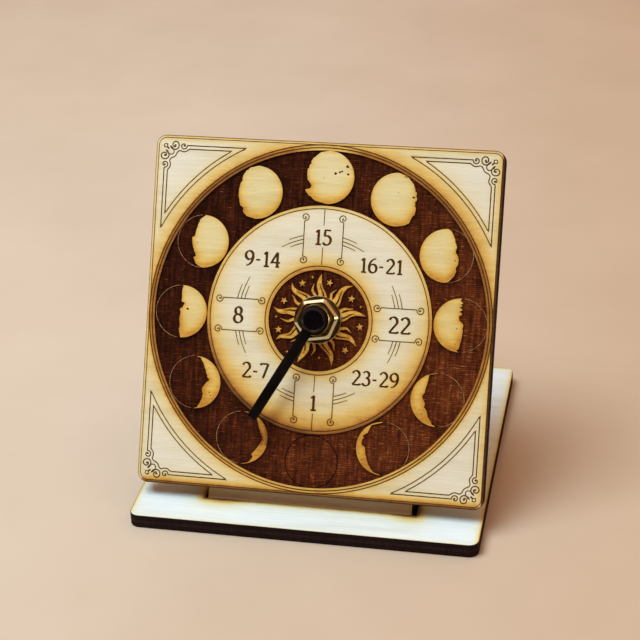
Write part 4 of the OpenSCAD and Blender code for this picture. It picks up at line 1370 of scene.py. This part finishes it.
def bush_mesh():
    n = 96
    verts, faces = [], []
    zs = list(np.arange(-8.0, 3.86, PITCH / 10.0))
    rows = []
    prof_low = [(2.6, -10.8), (5.28, -10.8), (5.4, -10.68), (5.4, -10.32), (5.28, -10.2), (3.96, -10.2), (3.96, -8.2)]
    rows += [lambda a, r=r, z=z: (r, z) for r, z in prof_low]
    for z in zs:
        def f(a, z=z):
            ph = (z / PITCH + a / (2 * math.pi)) % 1.0
            tri_ = abs(2 * ph - 1)
            fade = min(1.0, max(0.0, (3.0 - z) / 0.3), max(0.0, (z + 8.0) / 0.4))
            return (4.0 - 0.40 * fade * (1 - min(max((tri_ - 0.08) / 0.84, 0), 1)), z)
        rows.append(f)
    rows += [lambda a, r=r, z=z: (r, z) for r, z in [(3.86, 3.93), (3.72, 4.0), (2.78, 4.0), (2.66, 3.96), (2.6, 3.86)]]
    return rows


rows = bush_mesh()
bush = spin("bush", lambda a: [f(a) for f in rows], [m_bush], 96, sharp=50)
put(bush, DIAL, "stand", "threaded_bush", slot="brass")

rub = spin("rubber_ring", fillet([(4.25, 0), (8.5, 0), (8.5, 1.0), (4.25, 1.0)], [0.1, 0.3, 0.3, 0.1]), [m_rubber], 96)
put(rub, DIAL @ Matrix.Translation((0, 0, CASE_Z * MM)), "stand", "rubber_washer", slot="rubber")

HAND_A = 209.5
HAND_M = DIAL @ Matrix.Rotation(math.radians(-HAND_A), 4, "Z")
HL, HW0, HW1, HR = 33.0, 1.5, 1.45, 4.1
ah = math.degrees(math.asin(HW0 / HR))
o = arc(0, 0, HR, 90 + ah, 450 - ah, 80)
o = o + [(HW0 + (HW1 - HW0) * t, HL * t) for t in (0.2, 0.4, 0.6, 0.8)] + [(HW1, HL - 0.16), (HW1 - 0.16, HL), (-HW1 + 0.16, HL), (-HW1, HL - 0.16)] + \
    [(-HW0 - (HW1 - HW0) * t, HL * t) for t in (0.8, 0.6, 0.4, 0.2)]
hand = prism("hand_blade", o, [circle_pts(0, 0, 2.56, 64)], 5.2, 5.8, 0.10, [m_black], seg=2)
put(hand, HAND_M, "moon_hand_set", "moon_hand", slot="black_metal")
hub = spin("hub", fillet([(2.56, 4.3), (3.8, 4.3), (3.8, 5.2), (2.56, 5.2)], [0.05, 0.12, 0.0, 0.0]), [m_black], 96)
put(hub, HAND_M, "moon_hand_set", "hand_hub", slot="black_metal")
cap_p = fillet([(0, 6.3), (2.56, 6.3), (2.56, 5.8), (3.5, 5.8), (3.5, 7.12), (3.28, 7.4), (3.08, 7.4), (2.84, 7.2), (0, 7.2)], [0, 0, 0, 0.04, 0.14, 0.07, 0.07, 0.12, 0])
cap = spin("cap", cap_p, [m_cap], 120, sharp=30)
put(cap, HAND_M, "moon_hand_set", "hub_cap", slot="black_metal")

# ------------------------------------------------------------------ movement, seen from behind
BACKM = DIAL @ Matrix.Rotation(math.pi, 4, "Y") @ Matrix.Translation((0, 0, -BACK_Z * MM))       # x to the left, y up, z out of the rear; z 0 at the rear face


def bx(p):
    return (-p[0], p[1])


CASE_H = 28.0
WALL_T = 1.4
BAY_LO = -CASE_H + WALL_T + 0.1
BAY_HI = BAY_LO + 14.5 + 0.7
BAYX = CASE_H - WALL_T
BAT_Y = (BAY_LO + BAY_HI) / 2
BAT_Z = CASE_Z - 1.2 - 0.35 - 7.25
m_s = 0.3
SEC = (m_s * 36 * math.cos(math.radians(30)), m_s * 36 * math.sin(math.radians(30)))
FIRST = (SEC[0] + m_s * 30 * math.cos(math.radians(100)), SEC[1] + m_s * 30 * math.sin(math.radians(100)))
ROTOR = (FIRST[0] + 0.25 * 30 * math.cos(math.radians(165)), FIRST[1] + 0.25 * 30 * math.sin(math.radians(165)))
SET = (m_s * 40 * math.cos(math.radians(186)), m_s * 40 * math.sin(math.radians(186)))
m_case = plastic_mat("case_plastic", (27, 27, 28), 0.46, 1500, 0.22)
m_cover = plastic_mat("cover_plastic", (31, 31, 32), 0.40, 1900, 0.20)
m_knob = plastic_mat("knob_plastic", (24, 24, 25), 0.36, 1900, 0.16)


def rrect(x0, y0, x1, y1, r, n=8):
    if r <= 0:
        return [(x0, y0), (x1, y0), (x1, y1), (x0, y1)]
    out = []
    for cx, cy, a in ((x1 - r, y1 - r, 0), (x0 + r, y1 - r, 90), (x0 + r, y0 + r, 180), (x1 - r, y0 + r, 270)):
        out += arc(cx, cy, r, a, a + 90, n)
    return out


def half_rrect(h, r, ylow, n=8):
    """Round-cornered square of half-width h, cut off below ylow."""
    out = arc(h - r, h - r, r, 0, 90, n) + arc(-h + r, h - r, r, 90, 180, n)
    return out + [(-h, ylow), (h, ylow)]


P = [("plate", rrect(-CASE_H, -CASE_H, CASE_H, CASE_H, 4, 10)),
     ("train", half_rrect(CASE_H - WALL_T, 4 - WALL_T, BAY_HI + 1.2)),
     ("bay", rrect(-BAYX, BAY_LO, BAYX, BAY_HI, 0)),
     ("notch", rrect(-9, -CASE_H - 1, 9, BAY_LO + 0.001, 0)),
     ("hole", circle_pts(0, 0, 4.05, 48))]
for s in (-1, 1):
    P.append(("tail", rrect(s * (BAYX - 0.25) - 0.25, BAY_HI - 0.05, s * (BAYX - 0.25) + 0.25, BAY_HI + 1.25, 0)))
for i, p in enumerate(((-24, 24.2), (13, 24), (13, -7.5))):
    P.append(("post", circle_pts(-p[0], p[1], 1.8, 24)))
for p in (FIRST, ROTOR):
    P.append(("boss", circle_pts(-p[0], p[1], 1.3, 24)))
FL = 16 - 1.2


def case_class(s):
    if "plate" not in s or "hole" in s:
        return None
    if "post" in s:
        return 2
    if "boss" in s:
        return 3
    if "train" in s:
        return 1
    if "tail" in s:
        return 4
    if "bay" in s:
        return 1
    if "notch" in s:
        return 5
    return 0


v, f, fm, *_ = terrace(P, case_class, {0: 0.0, 1: FL, 2: 2.8, 3: 12.0, 4: 6.6, 5: 6.0}, 16.0, 0.0)
v, f, fm, _ = clean(v, f, fm)
case = mesh_object("case", v, f, [m_case], [0] * len(f))
md = case.modifiers.new("edge", "BEVEL")
md.width = 0.35 * MM
md.segments = 2
md.limit_method = "ANGLE"
md.angle_limit = math.radians(40)
put(case, BACKM, "stand", "movement_case", slot="case_plastic")

co = [bx(p) for p in half_rrect(CASE_H - WALL_T - 0.1, 4 - WALL_T, BAY_HI + 1.3)]
P = [("plate", ccw(co)), ("hole", circle_pts(-SET[0], SET[1], 1.6, 36)),
     ("g1+", circle_pts(-SET[0], SET[1], 9.3, 96)), ("g1-", circle_pts(-SET[0], SET[1], 8.9, 96)),
     ("inset", rrect(-26.0, BAY_HI + 1.9, 26.0, 26.0, 2.0)), ("panel", rrect(-23.5, 3.5, -2.0, 20.5, 1.0))]
for yy in (22.8, 23.9):
    P.append(("rib", rrect(-20, yy, 20, yy + 0.45, 0.2, 4)))


def cover_class(s):
    if "plate" not in s or "hole" in s:
        return None
    if "g1+" in s and "g1-" not in s and "inset" in s:
        return 1
    if "panel" in s:
        return 2
    if "rib" in s:
        return 1
    return 0


v, f, fm, *_ = terrace(P, cover_class, {0: 0.0, 1: 0.25, 2: 0.15}, 1.3, 0.1)
v, f, fm, _ = clean(v, f, fm)
cover = mesh_object("cover", v, f, [m_cover], [0] * len(f))
put(cover, BACKM, "stand", "back_cover", slot="case_plastic")

# knob: fluted rim, dished face with a raised bar to turn it by
ko = []
for i in range(20):
    a0 = 18 * i
    for a in np.linspace(-4.6, 4.6, 7):
        # flute of radius 0.75 centred on radius 8.25
        pass
    cx, cy = 8.25 * math.cos(math.radians(a0)), 8.25 * math.sin(math.radians(a0))
    for t in np.linspace(180 + 68, 180 - 68, 9):
        x, y = cx + 0.75 * math.cos(math.radians(a0 + t)), cy + 0.75 * math.sin(math.radians(a0 + t))
        if math.hypot(x, y) <= 8.0:
            ko.append((x, y))
    for a in np.linspace(a0 + 6.2, a0 + 11.8, 4):
        ko.append((8.0 * math.cos(math.radians(a)), 8.0 * math.sin(math.radians(a))))
ko.sort(key=lambda p: math.atan2(p[1], p[0]))
knob = prism("knob_rim", ko, [circle_pts(0, 0, 6.2, 64)], 0.4, 3.0, 0.25, [m_knob], bev_low=0.15, seg=3)
KM = BACKM @ Matrix.Translation((-SET[0] * MM, SET[1] * MM, 0))
disc = spin("knob_body", [(0, 0.55), (6.25, 0.55), (6.25, 2.6), (5.9, 2.42), (0, 2.42)], [m_knob], 72)
bar = prism("knob_bar", fillet([(-5.2, -0.8), (5.2, -0.8), (5.2, 0.8), (-5.2, 0.8)], 0.5), [], 2.3, 2.95, 0.2, [m_knob], bev_low=0.0)
stem = spin("knob_stem", fillet([(0, -(25 - 9.7)), (1.0, -(25 - 9.7)), (1.0, -(25 - 21.0)), (1.5, -(25 - 21.0)), (1.5, 0.6), (0, 0.6)], [0, 0.1, 0, 0.1, 0, 0]), [m_knob], 48)
for ob in (disc, bar, stem):
    ob.parent = knob
put(knob, KM, "setting_knob_set", "setting_knob", slot="case_plastic")

# battery: plain sleeve over a steel can
m_steel = metal_mat("steel", (196, 196, 198), 0.26)
m_sleeve = Mat("battery_sleeve")
vec = m_sleeve.coord()
z = m_sleeve.sep(vec)[2]
u = m_sleeve.math("MULTIPLY", z, 1 / (50.5 * MM))
n1 = m_sleeve.noise(vec, 900, 3, 0.6)
n2 = m_sleeve.noise(m_sleeve.mapping(vec, (90, 90, 900)), 1.0, 3, 0.5)
band = m_sleeve.ramp(u, [(0.0, srgb(52, 60, 66)), (0.745, srgb(52, 60, 66)), (0.75, srgb(198, 200, 200)), (0.765, srgb(198, 200, 200)), (0.77, srgb(120, 132, 138)), (1.0, srgb(120, 132, 138))], "CONSTANT")
band = m_sleeve.mix(band, m_sleeve.grey(n2, 0.88, 1.05, 0.3, 0.7), 1.0, "MULTIPLY")
m_sleeve.set(Base_Color=band, Roughness=m_sleeve.grey(n1, 0.24, 0.36, 0.3, 0.7), Metallic=0.35, Normal=m_sleeve.bump(n2, 0.12, 0.00005))
m_sleeve = m_sleeve.m
R = 7.25
BL = 50.5
prof = [(0, 0.28), (3.3, 0.28), (3.7, 0.2), (4.3, 0.0), (5.6, 0.0), (6.2, 0.12), (6.55, 0.05), (6.9, 0.10), (7.17, 0.35), (R, 0.75), (R, 2.0), (R, 2.6), (R, 24), (R, 46), (R, BL - 2.3), (7.2, BL - 1.9), (6.9, BL - 1.45),
        (6.5, BL - 1.25), (6.0, BL - 1.3), (5.6, BL - 1.36), (3.4, BL - 1.36), (3.1, BL - 1.3), (2.9, BL - 1.1), (2.75, BL - 0.8), (2.72, BL - 0.25), (2.55, BL - 0.06), (2.3, BL), (0, BL)]
fmx = []
for j in range(len(prof)):
    zz = prof[j][1]
    fmx.append(1 if 7 <= j <= 16 else 0)
bat = spin("cell", prof, [m_steel, m_sleeve], 96, fmat=fmx, sharp=40)
bat_m = DIAL @ Matrix.Translation(((BAYX - 0.95 - BL) * MM, BAT_Y * MM, BAT_Z * MM)) @ Matrix.Rotation(math.pi / 2, 4, "Y")
put(bat, bat_m, "battery", "battery", slot="battery_sleeve")

# ------------------------------------------------------------------ pieces kept from the frame
m_contact = metal_mat("contact_metal", (205, 196, 176), 0.24)
m_gear = plastic_mat("gear_plastic", (232, 226, 208), 0.38, 1800, 0.12)
m_white = plastic_mat("white_plastic", (224, 224, 220), 0.40, 1800, 0.12)
m_magnet = metal_mat("magnet", (84, 84, 88), 0.38)
m_wire = Mat("copper_wire")
vec = m_wire.coord()
w = m_wire.node("ShaderNodeTexWave", wave_type="BANDS", bands_direction="Y", ins={"Vector": vec, "Scale": 900.0, "Distortion": 0.4}).outputs["Fac"]
m_wire.set(Base_Color=m_wire.ramp(w, [(0.2, srgb(120, 52, 22)), (0.8, srgb(204, 118, 66))]), Metallic=0.8, Roughness=m_wire.grey(w, 0.28, 0.42), Normal=m_wire.bump(w, 0.5, 0.0001))
m_wire = m_wire.m
m_board = plastic_mat("board", (34, 92, 54), 0.36, 1400, 0.15)
m_chip = plastic_mat("chip", (16, 16, 17), 0.34, 1400, 0.12)
KEEP = {"train_bridge": m_white, "moon_arbor": m_brass, "moon_wheel": m_gear, "second_wheel": m_gear, "first_wheel": m_gear, "rotor_pinion": m_gear, "setting_pinion": m_gear,
        "second_arbor": m_steel, "first_arbor": m_steel, "rotor_magnet": m_magnet, "stator": m_steel, "coil_bobbin": m_white, "coil_winding": m_wire,
        "circuit_board": m_board, "control_chip": m_chip, "quartz_crystal": m_steel, "positive_contact": m_contact, "negative_contact": m_contact}
for name, mt in KEEP.items():
    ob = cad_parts[name]
    if not ob.material_slots:
        ob.data.materials.append(mt)
    for sl in ob.material_slots:
        sl.material = mt
    if name not in ("moon_wheel", "second_wheel", "first_wheel", "rotor_pinion", "setting_pinion"):
        md = ob.modifiers.new("edge", "BEVEL")
        md.width = 0.06 * MM
        md.segments = 2
        md.limit_method = "ANGLE"
        md.angle_limit = math.radians(45)

# ------------------------------------------------------------------ stage and light
floor_m = Mat("floor")
vec = floor_m.coord()
n = floor_m.noise(vec, 14, 4, 0.6)
nf = floor_m.noise(vec, 700, 3, 0.6)
fx = floor_m.sep(vec)[0]
# painted shade: the floor colour darkens and warms from about 0.08 m left of the centre to its darkest about 0.18 m
# right of it, where the clock's shade lies, then pales again to a slight warm tint
floor_m.set(Base_Color=floor_m.mix(floor_m.ramp(n, [(0.3, srgb(193, 181, 164)), (0.7, srgb(200, 189, 173))]), floor_m.ramp(floor_m.math("MULTIPLY_ADD", fx, 1.2, 0.5), [(0.40, (1, 1, 1, 1)), (0.71, (0.84, 0.71, 0.60, 1)), (0.98, (0.98, 0.92, 0.88, 1))]), 1.0, "MULTIPLY"), Roughness=floor_m.grey(nf, 0.5, 0.62, 0.3, 0.7))
floor_m.bsdf.inputs["Specular IOR Level"].default_value = 0.3
S = 3.0
floor = mesh_object("floor", [(-S * 1000, -S * 1000, -0.05), (S * 1000, -S * 1000, -0.05), (S * 1000, S * 1000, -0.05), (-S * 1000, S * 1000, -0.05)], [[0, 1, 2, 3]], [floor_m.m])

world = bpy.data.worlds.new("world")
SC.world = world
world.use_nodes = True
wt = world.node_tree
bg = wt.nodes["Background"]
tc = wt.nodes.new("ShaderNodeTexCoord")
sx = wt.nodes.new("ShaderNodeSeparateXYZ")
wt.links.new(tc.outputs["Generated"], sx.inputs[0])
rp = wt.nodes.new("ShaderNodeValToRGB")
rp.color_ramp.elements[0].position, rp.color_ramp.elements[0].color = 0.0, (0.24, 0.115, 0.055, 1)
rp.color_ramp.elements[1].position, rp.color_ramp.elements[1].color = 0.9, (1.95, 0.98, 0.51, 1)
e = rp.color_ramp.elements.new(0.42)
e.color = (0.42, 0.17, 0.076, 1)
e = rp.color_ramp.elements.new(0.62)
e.color = (1.27, 0.63, 0.32, 1)
wt.links.new(sx.outputs[2], rp.inputs[0])
# the room is dark straight in front, low down
dt = wt.nodes.new("ShaderNodeVectorMath")
dt.operation = "DOT_PRODUCT"
dt.inputs[1].default_value = (-0.18, -0.89, 0.40)
wt.links.new(tc.outputs["Generated"], dt.inputs[0])
dr = wt.nodes.new("ShaderNodeValToRGB")
dr.color_ramp.elements[0].position, dr.color_ramp.elements[0].color = 0.80, (1, 1, 1, 1)
dr.color_ramp.elements[1].position, dr.color_ramp.elements[1].color = 0.93, (0.16, 0.15, 0.14, 1)
wt.links.new(dt.outputs["Value"], dr.inputs[0])
mx = wt.nodes.new("ShaderNodeVectorMath")
mx.operation = "MULTIPLY"
wt.links.new(rp.outputs[0], mx.inputs[0])
wt.links.new(dr.outputs[0], mx.inputs[1])
wt.links.new(mx.outputs[0], bg.inputs[0])
bg.inputs[1].default_value = 0.47


def area_light(name, loc, target, size, power, color=(1, 1, 1), size_y=None):
    l = bpy.data.lights.new(name, "AREA")
    l.energy = power
    l.color = color
    l.shape = "RECTANGLE"
    l.size = size
    l.size_y = size_y or size
    ob = bpy.data.objects.new(name, l)
    COL.objects.link(ob)
    ob.location = loc
    d = Vector(target) - Vector(loc)
    ob.rotation_euler = d.to_track_quat("-Z", "Y").to_euler()
    return ob


key = area_light("key", (-0.40, -0.22, 1.10), (0, 0, 0.05), 0.74, 17.6, (0.73, 0.895, 0.97))
# what shiny faces see of the key is a dimmer sheet in its place
key.visible_glossy = False
sheet = area_light("key_sheet", (-0.388, -0.213, 1.068), (0, 0, 0.05), 0.84, 3.0, (0.94, 0.98, 1.02))
sheet.visible_diffuse = False
glint = area_light("front_right", (0.97, -0.60, 0.52), (0, 0, 0.05), 0.46, 2.2, (1.0, 0.88, 0.58), 0.46)
glint.visible_diffuse = False
area_light("back", (0.35, 1.0, 0.75), (0, 0, 0.05), 0.7, 1.5, (0.98, 0.90, 0.80))
try:
    SC.view_settings.view_transform = "Standard"
except TypeError:
    pass
